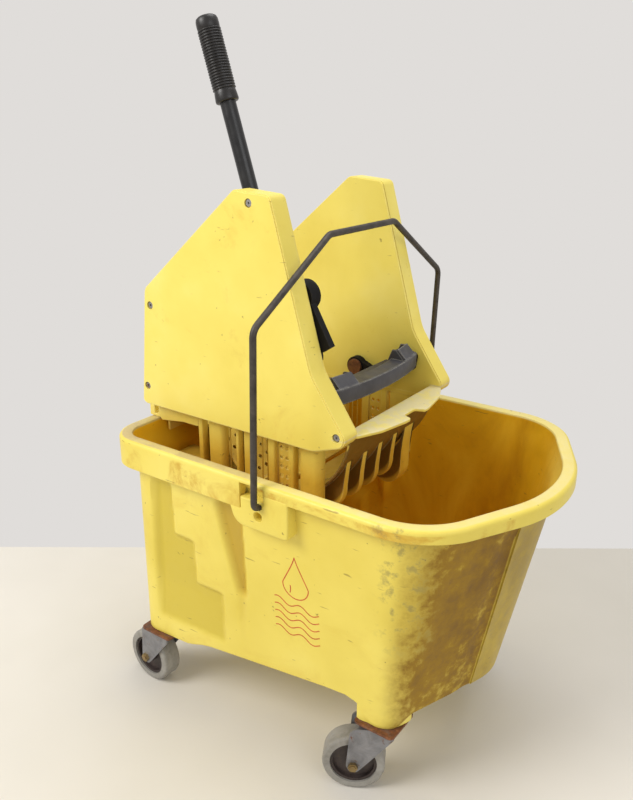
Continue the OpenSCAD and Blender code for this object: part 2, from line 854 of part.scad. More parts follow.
// Cast lever arm with the driving sector, as on the near side
module lever_gear() {
    inner = -gear_in;
    outer = -gear_out;
    color([0.07, 0.07, 0.08])
    difference() {
        union() {
            side_plate(sector(lever_pivot, gear_line + 180, -8, 4, 0), outer, inner);
            // front flank of the casting
            side_plate(
                [
                    lever_pivot + polar(hub_boss_r, -20),
                    lever_pivot + polar(root_r, -50),
                    lever_pivot + polar(root_r, -63),
                    lever_pivot + polar(root_r, -72),
                    lever_pivot + polar(10, 160)
                ],
                outer, inner
            );
            cross_bar(lever_pivot, hub_boss_r, outer, inner + 8.5);
            // web and socket for the tube
            side_plate(
                [
                    lever_pivot + hub_boss_r * lever_dir,
                    tube_foot + 60 * lever_dir,
                    tube_foot - 8 * lever_dir,
                    lever_pivot - hub_boss_r * lever_dir
                ],
                outer, inner
            );
            along_lever(-10, 62, socket_r);
        }
        along_lever(0, 70, tube_r + running);
        cross_bar(lever_pivot, lever_shaft_r, outer - 1, inner + 6);
        for (s = bolt_places) {
            tube_bolt_bar(s, bolt_r + running, -socket_r - 1, socket_r - 2);
            // spot face that clears the bolt's head
            tube_bolt_bar(s, bolt_head_r + 1, -socket_r - bolt_head - 1, -socket_r);
        }
    }
}

// Round bar along the tube's axis, from s0 to s1 above the socket's foot
module along_lever(s0, s1, r) {
    translate([tube_foot.x, -tube_y, tube_foot.y])
        rotate([0, -lever_lean, 0])
            translate([0, 0, s0])
                cylinder(r = r, h = s1 - s0, $fn = 48);
}

// Round bar square to the tube at height s, from x0 behind its axis to x1 ahead of it
module tube_bolt_bar(s, r, x0, x1, sides = 24) {
    translate([tube_foot.x, -tube_y, tube_foot.y])
        rotate([0, -lever_lean, 0])
            translate([x0, 0, s])
                rotate([0, 90, 0])
                    cylinder(r = r, h = x1 - x0, $fn = sides);
}

module lever_shaft() {
    color([0.6, 0.58, 0.55])
        cross_bar(lever_pivot, lever_shaft_r, -cover_face + panel + 1.5, -gear_in + 6);
}

module retaining_clip(place, r) {
    y = -frame_out - bush_flange - side_gap - clip_thick;
    difference() {
        cross_bar(place, r + 3.5, y, y + clip_thick);
        cross_bar(place, r, y - 1, y + clip_thick + 1);
    }
}

module lever_clip() {
    color([0.5, 0.5, 0.5]) retaining_clip(lever_pivot, lever_shaft_r);
}

module lever_tube() {
    color([0.05, 0.05, 0.06])
    difference() {
        along_lever(0, tube_length, tube_r);
        along_lever(-1, tube_length + 1, tube_r - 1.6);
        for (s = bolt_places)
            tube_bolt_bar(s, bolt_r + running, -socket_r, socket_r);
    }
}

module tube_bolts() {
    color([0.5, 0.48, 0.45])
    for (s = bolt_places) {
        tube_bolt_bar(s, bolt_r, -socket_r - 1, socket_r - 3);
        tube_bolt_bar(s, bolt_head_r, -socket_r - bolt_head, -socket_r, 6);
    }
}

module hand_grip() {
    rings = 20;
    s0 = tube_length + 6 - grip_length;
    pitch = (grip_length - 34) / rings;
    color([0.04, 0.04, 0.04])
    difference() {
        translate([tube_foot.x, -tube_y, tube_foot.y])
            rotate([0, -lever_lean, 0])
                translate([0, 0, s0])
                    rotate_extrude($fn = 64)
                        difference() {
                            union() {
                                square([grip_r, grip_length - 3]);
                                square([grip_r - 3, grip_length]);
                            }
                            for (i = [0:rings - 1])
                                translate([grip_r - 0.5, 14 + i * pitch])
                                    square([1, pitch / 2]);
                        }
        along_lever(0, tube_length + 0.1, tube_r + snug);
    }
}

// Press plate: tray with a bowed front wall, two end towers and a recess between them
tray_z = rim_height + 71;
tray_floor = 4;
tray_rear = -50;
bow_end = 27;                            // front edge at the ends
bow_mid = 36;                            // front edge in the middle
wall_rise = 19;                          // front wall above the tray's underside
tower_rise = 33;
recess_rise = 24;
tower_rear = -12;
press_screw_places = [[-2, tray_z + 12], [16, tray_z + 12]];

// Plan outline of the plate's front, bowed forward, from y = -w to y = w, grown by d
function bow(w, d) =
    [for (i = [-6:6])
        let (y = w * i / 6)
        [bow_mid + d - (bow_mid - bow_end) * pow(y / press_half, 2), y]];
function tray_plan(w, d) = concat(bow(w, d), [[tray_rear, w], [tray_rear, -w]]);

// Slice of the plate between y0 and y1 that keeps what lies behind the bowed front
module press_block(points, y0, y1) {
    intersection() {
        side_plate(points, y0, y1);
        translate([0, 0, tray_z - 1])
            linear_extrude(60)
                polygon(tray_plan(press_half, 0));
    }
}

module press_plate() {
    wall_top = tray_z + wall_rise;
    tower_top = tray_z + tower_rise;
    recess_top = tray_z + recess_rise;
    color([0.24, 0.24, 0.25])
    difference() {
        union() {
            // floor and front wall
            translate([0, 0, tray_z])
                linear_extrude(tray_floor)
                    polygon(tray_plan(press_half, 0));
            translate([0, 0, tray_z])
                linear_extrude(wall_rise)
                    difference() {
                        polygon(tray_plan(press_half, 0));
                        polygon(tray_plan(press_half - 3, -4));
                    }
            both_sides()
                press_block(
                    [
                        [tower_rear, tray_z], [bow_mid, tray_z], [bow_mid, wall_top],
                        [bow_mid - 14, tower_top], [tower_rear + 6, tower_top - 2],
                        [tower_rear, tray_z + 20]
                    ],
                    -press_half, -recess_half
                );
            press_block(
                [
                    [bow_mid - 16, tray_z], [bow_mid, tray_z], [bow_mid, wall_top],
                    [bow_mid - 5, recess_top], [bow_mid - 10, recess_top]
                ],
                -recess_half - 1, recess_half + 1
            );
        }
        // hollows of the two towers, open to the rear
        both_sides()
            translate([-20, -press_half + 3.5, tray_z + 7])
                cube([38, press_half - recess_half - 7, 20]);
        both_sides()
            for (p = press_screw_places)
                cross_bar(p, screw_r, -press_half - 1, -press_half + 3, 24);
        // relief for the mop's stick in the tray's rear edge
        translate([tray_rear, 0, tray_z - 1])
            cylinder(r = 26, h = 30, $fn = 48);
    }
}

// Sickle arm from a pivot hub to the plate's end; the plate's two screws pass through it
module arm_blank(y0, y1) {
    side_plate(
        rounded([
            [pivot.x, pivot.y - 13, 3],
            [pivot.x + 42, pivot.y - 20, 30],
            [bow_end - 6, tray_z - 4, 8],
            [bow_end - 2, tray_z + 20, 6],
            [tower_rear, tray_z + 20, 6],
            [tower_rear - 4, tray_z + 2, 10],
            [pivot.x + 40, pivot.y - 3, 24],
            [pivot.x, pivot.y + 13, 3]
        ], 5),
        y0, y1
    );
    cross_bar(pivot, 14, y0, y1);
}

module arm_holes() {
    for (p = press_screw_places)
        cross_bar(p, screw_r + 0.15, -gear_out - 1, -press_half + 1, 24);
    cross_bar(pivot, press_pin_r + snug, -gear_out - 1, -gear_in + 4);
}

// Pads that carry the arm inwards to the plate's end
module arm_pad() {
    for (p = press_screw_places)
        cross_bar(p, 6, -gear_in - 0.5, -press_half);
}

module press_gear() {
    color([0.09, 0.09, 0.10])
    difference() {
        union() {
            side_plate(sector(pivot, gear_line, -5, 7, 0.5), -gear_out, -gear_in);
            arm_blank(-gear_out, -gear_in);
            arm_pad();
        }
        arm_holes();
    }
}

module press_arm() {
    color([0.20, 0.20, 0.21])
    mirror([0, 1, 0])
        difference() {
            union() {
                arm_blank(-gear_out, -gear_in);
                arm_pad();
            }
            arm_holes();
        }
}

// Headed pins that carry the press in the frame and the covers
module press_pins() {
    color([0.42, 0.27, 0.14])
    both_sides() {
        cross_bar(pivot, press_pin_r, -cover_face + panel + 1.5, -gear_in + 1);
        cross_bar(pivot, 11, -gear_in, -gear_in + 4);
    }
}

module press_clips() {
    color([0.5, 0.5, 0.5]) both_sides() retaining_clip(pivot, press_pin_r);
}

module press_screws() {
    color([0.5, 0.48, 0.45])
    both_sides()
        for (p = press_screw_places) {
            cross_bar(p, screw_r, -gear_out, -press_half + 3, 24);
            cross_bar(p, 4, -gear_out - 1, -gear_out, 24);
        }
}

// ---------------------------------------------------------------- casters

// Moves to a caster's kingpin at [x, y] and turns its trail to the given heading
module caster_frame(p) {
    translate([p.x, p.y, 0]) rotate([0, 0, p.z]) children();
}

// Three screws hold each plate; its outermost corner overhangs the foot
module plate_screw_places(p) {
    for (x = [-16, 16], y = [-16, 16])
        if (x * p.x < 0 || y * p.y < 0)
            translate([p.x + x, p.y + y, 0]) children();
}

module top_plate(p) {
    h = plate_half;
    color([0.40, 0.27, 0.18])
    difference() {
        translate([p.x, p.y, 0]) {
            translate([0, 0, foot_height - plate_thick])
                linear_extrude(plate_thick)
                    polygon(rounded([[-h, -h, 6], [h, -h, 6], [h, h, 6], [-h, h, 6]], 5));
            translate([0, 0, foot_height - plate_thick - race_thick])
                cylinder(r1 = 15, r2 = 17.5, h = race_thick + eps, $fn = 48);
        }
        translate([p.x, p.y, foot_height - 20]) cylinder(r = kingpin_r, h = 30, $fn = 32);
        plate_screw_places(p)
            translate([0, 0, foot_height - 10]) cylinder(r = screw_r + 0.3, h = 20, $fn = 24);
    }
}

module kingpin(p) {
    color([0.45, 0.42, 0.38])
    caster_frame(p) {
        translate([0, 0, fork_top - fork_thick - side_gap])
            cylinder(r = kingpin_r, h = foot_height - fork_top + fork_thick + side_gap, $fn = 32);
        translate([0, 0, fork_top - fork_thick - side_gap - 3])
            cylinder(r = kingpin_r + 3, h = 3, $fn = 32);
    }
}

module fork(p) {
    half = fork_gap / 2;
    color([0.55, 0.55, 0.56])
    caster_frame(p)
        difference() {
            union() {
                translate([0, 0, fork_top - fork_thick]) cylinder(r = fork_r, h = fork_thick, $fn = 48);
                translate([0, -half - fork_thick, fork_top - fork_thick])
                    cube([trail - 6, 2 * half + 2 * fork_thick, fork_thick]);
                both_sides() {
                    side_plate(
                        rounded([
                            [-14, fork_top, 2], [-14, fork_top - 12, 4],
                            [trail - 9.5, wheel_r - 4, 2], [trail - 4, wheel_r - 9.5, 5],
                            [trail + 5, wheel_r - 9, 6], [trail + 9, wheel_r, 5],
                            [trail + 5, fork_top - 8, 5], [trail - 4, fork_top, 4]
                        ], 5),
                        -half - fork_thick, -half
                    );
                }
            }
            translate([0, 0, fork_top - 10])
                cylinder(r = kingpin_r + running, h = 20, $fn = 32);
            cross_bar([trail, wheel_r], axle_r, -half - 10, half + 10, 32);
        }
}

module axle(p) {
    half = fork_gap / 2 + fork_thick;
    color([0.50, 0.48, 0.46])
    caster_frame(p) {
        cross_bar([trail, wheel_r], axle_r, -half - 3, half + 5, 32);
        cross_bar([trail, wheel_r], 6.5, -half - 4, -half, 6);
        cross_bar([trail, wheel_r], 6.5, half, half + 4, 6);
    }
}

module hub(p) {
    half = fork_gap / 2 - side_gap;
    color([0.15, 0.14, 0.14])
    caster_frame(p)
        difference() {
            union() {
                cross_bar([trail, wheel_r], hub_r, -tyre_width / 2 + 3, tyre_width / 2 - 3, 64);
                cross_bar([trail, wheel_r], 10, -half, half, 32);
            }
            cross_bar([trail, wheel_r], axle_r + running, -half - 1, half + 1, 32);
            // dished faces
            both_sides()
                difference() {
                    cross_bar([trail, wheel_r], hub_r - 3.5, -tyre_width / 2, -tyre_width / 2 + 8, 64);
                    cross_bar([trail, wheel_r], 10, -half - 1, half, 32);
                }
        }
}

module tyre(p) {
    color([0.55, 0.54, 0.50])
    caster_frame(p)
        translate([trail, 0, wheel_r])
            rotate([90, 0, 0])
                rotate_extrude($fn = 96)
                    polygon([
                        [hub_r, -tyre_width / 2], [wheel_r - 3, -tyre_width / 2],
                        [wheel_r - 1, -tyre_width / 2 + 1], [wheel_r, -tyre_width / 2 + 3.5],
                        [wheel_r, tyre_width / 2 - 3.5], [wheel_r - 1, tyre_width / 2 - 1],
                        [wheel_r - 3, tyre_width / 2], [hub_r, tyre_width / 2]
                    ]);
}

module caster_screws() {
    color([0.45, 0.40, 0.35])
    for (p = caster_places)
        plate_screw_places(p) {
            translate([0, 0, foot_height - plate_thick - 2.4]) cylinder(r = 3.6, h = 2.4, $fn = 24);
            translate([0, 0, foot_height - plate_thick - 1]) cylinder(r = screw_r, h = 18, $fn = 24);
        }
}

// Moves a piece so that the origin is under the middle of the whole
module placed() {
    translate([middle_shift, 0, 0]) children();
}

placed() bucket();
placed() bail();
placed() wringer_frame();
placed() sieve_plate();
placed() near_cover();
placed() far_cover();
placed() cover_screws();
placed() lever_bush();
placed() press_bushes();
placed() lever_spring();
placed() press_spring();
placed() lever_gear();
placed() lever_shaft();
placed() lever_clip();
placed() lever_tube();
placed() tube_bolts();
placed() hand_grip();
placed() press_plate();
placed() press_gear();
placed() press_arm();
placed() press_pins();
placed() press_clips();
placed() press_screws();
placed() caster_screws();
placed() top_plate(front_near);  // front_near_plate
placed() kingpin(front_near);  // front_near_kingpin
placed() fork(front_near);  // front_near_fork
placed() axle(front_near);  // front_near_axle
placed() hub(front_near);  // front_near_hub
placed() tyre(front_near);  // front_near_tyre
placed() top_plate(front_far);  // front_far_plate
placed() kingpin(front_far);  // front_far_kingpin
placed() fork(front_far);  // front_far_fork
placed() axle(front_far);  // front_far_axle
placed() hub(front_far);  // front_far_hub
placed() tyre(front_far);  // front_far_tyre
placed() top_plate(rear_near);  // rear_near_plate
placed() kingpin(rear_near);  // rear_near_kingpin
placed() fork(rear_near);  // rear_near_fork
placed() axle(rear_near);  // rear_near_axle
placed() hub(rear_near);  // rear_near_hub
placed() tyre(rear_near);  // rear_near_tyre
placed() top_plate(rear_far);  // rear_far_plate
placed() kingpin(rear_far);  // rear_far_kingpin
placed() fork(rear_far);  // rear_far_fork
placed() axle(rear_far);  // rear_far_axle
placed() hub(rear_far);  // rear_far_hub
placed() tyre(rear_far);  // rear_far_tyre
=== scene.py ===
import math

import bmesh
import bpy
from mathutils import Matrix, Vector, geometry
import numpy as np


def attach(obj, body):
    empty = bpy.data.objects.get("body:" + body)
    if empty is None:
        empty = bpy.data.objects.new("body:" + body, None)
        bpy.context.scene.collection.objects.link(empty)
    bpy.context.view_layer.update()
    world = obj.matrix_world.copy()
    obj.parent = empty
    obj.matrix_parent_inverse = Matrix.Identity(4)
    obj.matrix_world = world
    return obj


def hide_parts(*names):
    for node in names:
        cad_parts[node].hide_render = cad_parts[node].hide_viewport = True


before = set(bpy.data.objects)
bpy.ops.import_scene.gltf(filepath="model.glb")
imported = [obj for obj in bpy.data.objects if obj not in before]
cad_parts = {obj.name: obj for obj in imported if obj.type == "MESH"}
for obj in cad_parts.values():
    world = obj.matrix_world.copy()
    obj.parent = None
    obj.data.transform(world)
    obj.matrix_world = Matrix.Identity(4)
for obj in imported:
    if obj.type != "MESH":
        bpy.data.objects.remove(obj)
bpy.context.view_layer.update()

# A mop bucket with a down-press wringer. Shapes are in millimetres in the rim's frame: x forwards from the
# rim's middle to the pouring end, y away from the lever's side, z up from the ground. Materials work in
# metres in the row's frame.
MM = 0.001
SHIFT = 8.5          # the rim's frame lies this far ahead of the row's
RIM = 408.0          # top of the bucket's rim
FOOT = 106.0         # lower edge of the bucket's feet
FLOOR = 147.0        # the bucket's floor, inside


# ---- colours and node helpers

def srgb(r, g, b):
    """A colour given as 0-255 sRGB, as linear RGBA."""
    def linear(v):
        v /= 255
        return v / 12.92 if v <= 0.04045 else ((v + 0.055) / 1.055) ** 2.4
    return (linear(r), linear(g), linear(b), 1.0)


class Nodes:
    """Short names for the shader nodes that the materials share."""

    def __init__(self, name, kind="materials"):
        self.owner = getattr(bpy.data, kind).new(name)
        self.owner.use_nodes = True
        self.tree = self.owner.node_tree
        self.shader = self.tree.nodes.get("Principled BSDF")
        self.place = self.new("TexCoord").outputs["Object"]

    def new(self, kind, **settings):
        made = self.tree.nodes.new("ShaderNode" + kind)
        for key, value in settings.items():
            setattr(made, key, value)
        return made

    def link(self, a, b):
        self.tree.links.new(a, b)

    def feed(self, value, socket):
        """Links an output to a socket, or writes a number or an sRGB colour there."""
        if hasattr(value, "links"):
            self.link(value, socket)
        else:
            socket.default_value = srgb(*value) if isinstance(value, tuple) else value

    def stretched(self, scale):
        m = self.new("Mapping")
        m.inputs["Scale"].default_value = scale
        self.link(self.place, m.inputs["Vector"])
        return m.outputs[0]

    def noise(self, scale, detail=4.0, rough=0.6, vector=None, distortion=0.0):
        n = self.new("TexNoise")
        n.inputs["Scale"].default_value = scale
        n.inputs["Detail"].default_value = detail
        n.inputs["Roughness"].default_value = rough
        n.inputs["Distortion"].default_value = distortion
        self.link(vector or self.place, n.inputs["Vector"])
        return n.outputs["Fac"]

    def ramp(self, fac, stops):
        r = self.new("ValToRGB")
        points = r.color_ramp.elements
        while len(points) < len(stops):
            points.new(0.5)
        for point, (at, colour) in zip(points, stops):
            point.position = at
            point.color = srgb(*colour) if isinstance(colour, tuple) else (colour,) * 3 + (1,)
        self.link(fac, r.inputs[0])
        return r.outputs[0]

    def mix(self, fac, a, b):
        m = self.new("Mix", data_type="RGBA")
        for value, at in ((fac, 0), (a, 6), (b, 7)):
            self.feed(value, m.inputs[at])
        return m.outputs[2]

    def maths(self, kind, a, b=0.0, clamp=False):
        m = self.new("Math", operation=kind, use_clamp=clamp)
        self.feed(a, m.inputs[0])
        self.feed(b, m.inputs[1])
        return m.outputs[0]

    def times(self, a, *others, clamp=False):
        """Product of masks and plain factors."""
        for b in others:
            a = self.maths("MULTIPLY", a, b, clamp)
        return a

    def stain(self, base, colour, *masks, clamp=False):
        """Base with a colour over it, as strong as the product of the masks."""
        return self.mix(self.times(*masks, clamp=clamp), base, colour)

    def axis(self, name):
        s = self.new("SeparateXYZ")
        self.link(self.place, s.inputs[0])
        return s.outputs[name]

    def attribute(self, name):
        a = self.new("Attribute", attribute_name=name)
        return a.outputs["Fac"]

    def band(self, value, low, high):
        """0 at low, 1 at high, smooth between."""
        m = self.new("MapRange", interpolation_type="SMOOTHSTEP")
        m.inputs["From Min"].default_value = low
        m.inputs["From Max"].default_value = high
        self.link(value, m.inputs["Value"])
        return m.outputs[0]

    def edges(self, size):
        """1 on edges and corners, 0 on faces, from a bevelled normal."""
        bevel = self.new("Bevel", samples=4)
        bevel.inputs["Radius"].default_value = size
        surface = self.new("NewGeometry")
        dot = self.new("VectorMath", operation="DOT_PRODUCT")
        self.link(bevel.outputs[0], dot.inputs[0])
        self.link(surface.outputs["Normal"], dot.inputs[1])
        return self.maths("SUBTRACT", 1.0, dot.outputs["Value"], clamp=True)

    def bump(self, height, strength, distance):
        b = self.new("Bump")
        b.inputs["Strength"].default_value = strength
        b.inputs["Distance"].default_value = distance
        self.link(height, b.inputs["Height"])
        self.link(b.outputs[0], self.shader.inputs["Normal"])

    def colour(self, socket):
        self.link(socket, self.shader.inputs["Base Color"])

    def rough(self, socket):
        self.link(socket, self.shader.inputs["Roughness"])

    def set(self, **values):
        for key, value in values.items():
            self.shader.inputs[key.replace("_", " ")].default_value = value
        return self.owner


# ---- mesh helpers

def smooth(t):
    t = np.clip(t, 0.0, 1.0)
    return t * t * (3 - 2 * t)


def circle(x, y, r, steps=24):
    return [(x + r * math.cos(2 * math.pi * i / steps), y + r * math.sin(2 * math.pi * i / steps))
            for i in range(steps)]


def skinned(rows, size, start=0):
    """Faces over rows of size points each, numbered from start, with both ends closed."""
    faces = []
    for a in range(start, start + (rows - 1) * size, size):
        for j in range(size):
            k = (j + 1) % size
            faces.append((a + j, a + k, a + size + k, a + size + j))
    faces.append(tuple(range(start, start + size))[::-1])
    faces.append(tuple(range(start + (rows - 1) * size, start + rows * size)))
    return faces


def placed(name, data):
    made = bpy.data.objects.new(name, data)
    bpy.context.scene.collection.objects.link(made)
    return made


def mesh_object(name, points, faces, material, body, replaced=(), sharp=38, attributes=None):
    """Mesh from points in millimetres in the rim's frame, riding on a body."""
    mesh = bpy.data.meshes.new(name)
    points = np.asarray(points, dtype=float).reshape(-1, 3).copy()
    points[:, 0] += SHIFT
    mesh.from_pydata([tuple(p) for p in points * MM], [], faces)
    for key, values in (attributes or {}).items():
        layer = mesh.attributes.new(key, "FLOAT", "POINT")
        layer.data.foreach_set("value", np.asarray(values, dtype=np.float32))
    work = bmesh.new()
    work.from_mesh(mesh)
    bmesh.ops.recalc_face_normals(work, faces=work.faces)
    work.to_mesh(mesh)
    work.free()
    return finish_object(name, mesh, material, body, replaced, sharp)


def finish_object(name, mesh, material, body, replaced=(), sharp=38):
    mesh.polygons.foreach_set("use_smooth", [True] * len(mesh.polygons))
    mesh.set_sharp_from_angle(angle=math.radians(sharp))
    mesh.materials.append(material)
    made = placed(name, mesh)
    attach(made, body)
    if replaced:
        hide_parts(*replaced)
    return made


class Build:
    """Gathers bevelled solids, in millimetres in the rim's frame, into one mesh."""

    def __init__(self):
        self.work = bmesh.new()

    def polygon(self, loop, move, bevel=0.8, steps=2):
        """Prism: loop is a closed list of 3-D places, move the extrusion."""
        verts = [self.work.verts.new(p) for p in loop]
        face = self.work.faces.new(verts)
        out = bmesh.ops.extrude_face_region(self.work, geom=[face])
        tops = [v for v in out["geom"] if isinstance(v, bmesh.types.BMVert)]
        bmesh.ops.translate(self.work, verts=tops, vec=move)
        island = verts + tops
        edges = list({e for v in island for e in v.link_edges})
        faces = list({f for v in island for f in v.link_faces})
        bmesh.ops.recalc_face_normals(self.work, faces=faces)
        if bevel:
            chosen = [e for e in edges if len(e.link_faces) == 2 and e.calc_face_angle(0) > 0.5]
            bmesh.ops.bevel(self.work, geom=chosen, offset=bevel, offset_type="OFFSET", segments=steps,
                            profile=0.6, affect="EDGES", clamp_overlap=True)

    def side(self, points, y0, y1, bevel=0.8):
        """Prism from an outline [x, z] between y0 and y1."""
        self.polygon([(x, y0, z) for x, z in points], (0, y1 - y0, 0), bevel)

    def plan(self, points, z0, z1, bevel=0.8, steps=2):
        """Prism from an outline [x, y] between z0 and z1."""
        self.polygon([(x, y, z0) for x, y in points], (0, 0, z1 - z0), bevel, steps)

    def box(self, x0, x1, y0, y1, z0, z1, bevel):
        self.plan([(x0, y0), (x1, y0), (x1, y1), (x0, y1)], z0, z1, bevel)

    def grid(self, rings, caps=True):
        """Skin over closed rings of equal length; caps closes its two ends."""
        rows = [[self.work.verts.new(p) for p in ring] for ring in rings]
        m = len(rows[0])
        for a, b in zip(rows, rows[1:]):
            for j in range(m):
                k = (j + 1) % m
                self.work.faces.new((a[j], a[k], b[k], b[j]))
        if caps:
            self.work.faces.new(rows[0][::-1])
            self.work.faces.new(rows[-1])
        return rows

    def lathe(self, profile, place, axis, steps=48):
        """Solid of revolution: profile [radius, height] along axis from place."""
        turn = Vector((0, 0, 1)).rotation_difference(Vector(axis)).to_matrix()
        self.grid([[Vector(place) + turn @ Vector((x, y, h)) for x, y in circle(0, 0, r, steps)]
                   for r, h in profile])

    def fill(self, rings, holes):
        """Closes rings, each its flat places and their vertices, leaving the holes' outlines open."""
        places, edges, verts = [], [], []
        for ring, row in rings:
            start = len(places)
            places += [Vector(p) for p in ring]
            edges += [(start + i, start + (i + 1) % len(row)) for i in range(len(row))]
            verts += row
        flat, _, triangles, sources = geometry.delaunay_2d_cdt(places, edges, [], 1, 1e-5)[:4]
        for triangle in triangles:
            middle = sum((flat[i] for i in triangle), Vector((0, 0))) / 3
            if any(inside_outline(middle, hole) for hole in holes):
                continue
            ids = [sources[i][0] for i in triangle if sources[i]]
            if len(set(ids)) == 3:
                self.work.faces.new([verts[i] for i in ids])

    def pierced(self, loop, holes, y0, y1, bevel=0.6, flat=False):
        """Plate with holes between y0 and y1, from outlines [x, z]; flat lays it in [x, y] instead."""
        def at(p, d):
            return (p[0], p[1], d) if flat else (p[0], d, p[1])

        def shifted(ring, d):
            q = np.array(ring, dtype=float)
            a, c = np.roll(q, 1, axis=0), np.roll(q, -1, axis=0)
            n1 = np.array([unit2((e[1], -e[0])) for e in q - a])
            n2 = np.array([unit2((e[1], -e[0])) for e in c - q])
            turn = np.maximum(1 + np.sum(n1 * n2, axis=1), 0.5)
            return q + (n1 + n2) * (d / turn)[:, None]

        def anticlockwise(ring):
            q = np.array(ring, dtype=float)
            area = np.sum(q[:, 0] * np.roll(q[:, 1], -1) - np.roll(q[:, 0], -1) * q[:, 1])
            return q if area > 0 else q[::-1]

        ends = ([], [])
        for ring, sign in [(loop, -1)] + [(h, 1) for h in holes]:
            ring = anticlockwise(ring)
            inset = shifted(ring, sign * bevel)
            rows = self.grid([[at(p, d) for p in r] for r, d in
                              ((inset, y0), (ring, y0 + bevel), (ring, y1 - bevel), (inset, y1))], caps=False)
            ends[0].append((inset, rows[0]))
            ends[1].append((inset, rows[-1]))
        for rings in ends:
            self.fill(rings, [ring for ring, _ in rings[1:]])

    def mirrored(self):
        """Adds the mirror image in Y of everything so far."""
        everything = self.work.verts[:] + self.work.edges[:] + self.work.faces[:]
        copy = bmesh.ops.duplicate(self.work, geom=everything)["geom"]
        for v in copy:
            if isinstance(v, bmesh.types.BMVert):
                v.co.y = -v.co.y
        bmesh.ops.reverse_faces(self.work, faces=[f for f in copy if isinstance(f, bmesh.types.BMFace)])

    def finish(self, name, material, body, replaced=(), sharp=38):
        bmesh.ops.recalc_face_normals(self.work, faces=self.work.faces)
        for v in self.work.verts:
            v.co = Vector(((v.co.x + SHIFT) * MM, v.co.y * MM, v.co.z * MM))
        mesh = bpy.data.meshes.new(name)
        self.work.to_mesh(mesh)
        self.work.free()
        return finish_object(name, mesh, material, body, replaced, sharp)


def unit2(v):
    return v / np.hypot(v[0], v[1])


def grown(corners, d):
    """Corners [x, y, radius] of an anticlockwise outline, moved outwards by d."""
    m = len(corners)
    out = []
    for i in range(m):
        a, b, c = (np.array(corners[(i + k) % m][:2], dtype=float) for k in (-1, 0, 1))
        p = unit2(np.array([b[1] - a[1], a[0] - b[0]]))
        q = unit2(np.array([c[1] - b[1], b[0] - c[0]]))
        s = d * (p + q) / (1 + p @ q)
        out.append([b[0] + s[0], b[1] + s[1], max(corners[i][2] + d, 0.2)])
    return out


def outline(corners, arcs, edges=None):
    """Rounded outline: arcs[i] steps round corner i, edges[i] the fractions along the edge after it."""
    m = len(corners)
    arcs = [arcs] * m if isinstance(arcs, int) else arcs
    edges = edges or [[]] * m
    parts = []
    for i in range(m):
        a, b, c = (np.array(corners[(i + k) % m][:2], dtype=float) for k in (-1, 0, 1))
        r = corners[i][2]
        u, v = unit2(a - b), unit2(c - b)
        half = math.acos(max(-1, min(1, float(u @ v)))) / 2
        centre = b + unit2(u + v) * r / math.sin(half)
        x0, y0 = b + u * r / math.tan(half) - centre
        x1, y1 = b + v * r / math.tan(half) - centre
        first = math.atan2(y0, x0)
        turn = (math.atan2(y1, x1) - first + 3 * math.pi) % (2 * math.pi) - math.pi
        t = first + turn * np.linspace(0, 1, arcs[i] + 1)
        parts.append(centre + r * np.stack([np.cos(t), np.sin(t)], axis=1))
    out = []
    for i, part in enumerate(parts):
        a, b = part[-1], parts[(i + 1) % m][0]
        out += [part, a + (b - a) * np.asarray(edges[i], dtype=float)[:, None]]
    return np.concatenate(out)


def inside_outline(point, ring):
    x, y = point
    a, c = ring, np.roll(ring, -1, axis=0)
    crosses = (a[:, 1] > y) != (c[:, 1] > y)
    rise = np.where(c[:, 1] == a[:, 1], 1e-9, c[:, 1] - a[:, 1])
    at = a[:, 0] + (y - a[:, 1]) * (c[:, 0] - a[:, 0]) / rise
    return bool(np.count_nonzero(crosses & (x < at)) % 2)


# ---- bucket

REAR = -279.0        # the rim's rear edge, its foremost edge and half its width
NOSE = 281.6
HALF = 203.0
INSET = 13.5         # outside of the wall behind the rim's edge
WALL = 4.5
REAR_WALL = -258.0   # outside of the rear wall at the rim
LEG_X = -13.0        # the bail's pivot
CREASE_X = (NOSE - 24, 198)      # the crease beside the spout, at the rim and at the foot
CREASE_Y = (58, 42)
CASTERS = ((132, 144), (-223, 164))
SKIRT = 16.0         # depth of the rim's skirt, and behind the bail's leg
DEEP_SKIRT = 40.0
POCKET = (-42, -7)   # where the skirt makes room for the bail's leg
ROLL = 5.0           # radius of the rim's rolled edge

RIM_CORNERS = [
    [REAR, -HALF, 47], [NOSE - 76, -HALF, 98], [NOSE - 4, -54, 190], [NOSE, 0, 215],
    [NOSE - 4, 54, 190], [NOSE - 76, HALF, 98], [REAR, HALF, 47]
]
INSIDE = grown(RIM_CORNERS, -INSET)
WALL_CORNERS = [
    [REAR_WALL, INSIDE[0][1], 44], INSIDE[1], [CREASE_X[0], -CREASE_Y[0], 10], [NOSE - INSET, 0, 150],
    [CREASE_X[0], CREASE_Y[0], 10], INSIDE[5], [REAR_WALL, INSIDE[6][1], 44]
]
BASE_CORNERS = [
    [REAR_WALL + 3, -187, 28], [151, -165, 30], [CREASE_X[1], -CREASE_Y[1], 8], [212, 0, 80],
    [CREASE_X[1], CREASE_Y[1], 8], [151, 165, 30], [REAR_WALL + 3, 187, 28]
]

PAD_EDGES = (-177, -143, -98)    # front edges of the stepped recess, from the top step down
PAD_STEPS = (76, 142, 218)       # lower edges of its steps, below its top
RELIEF_TOP = RIM - 52
RELIEF_DEPTH = 7.0


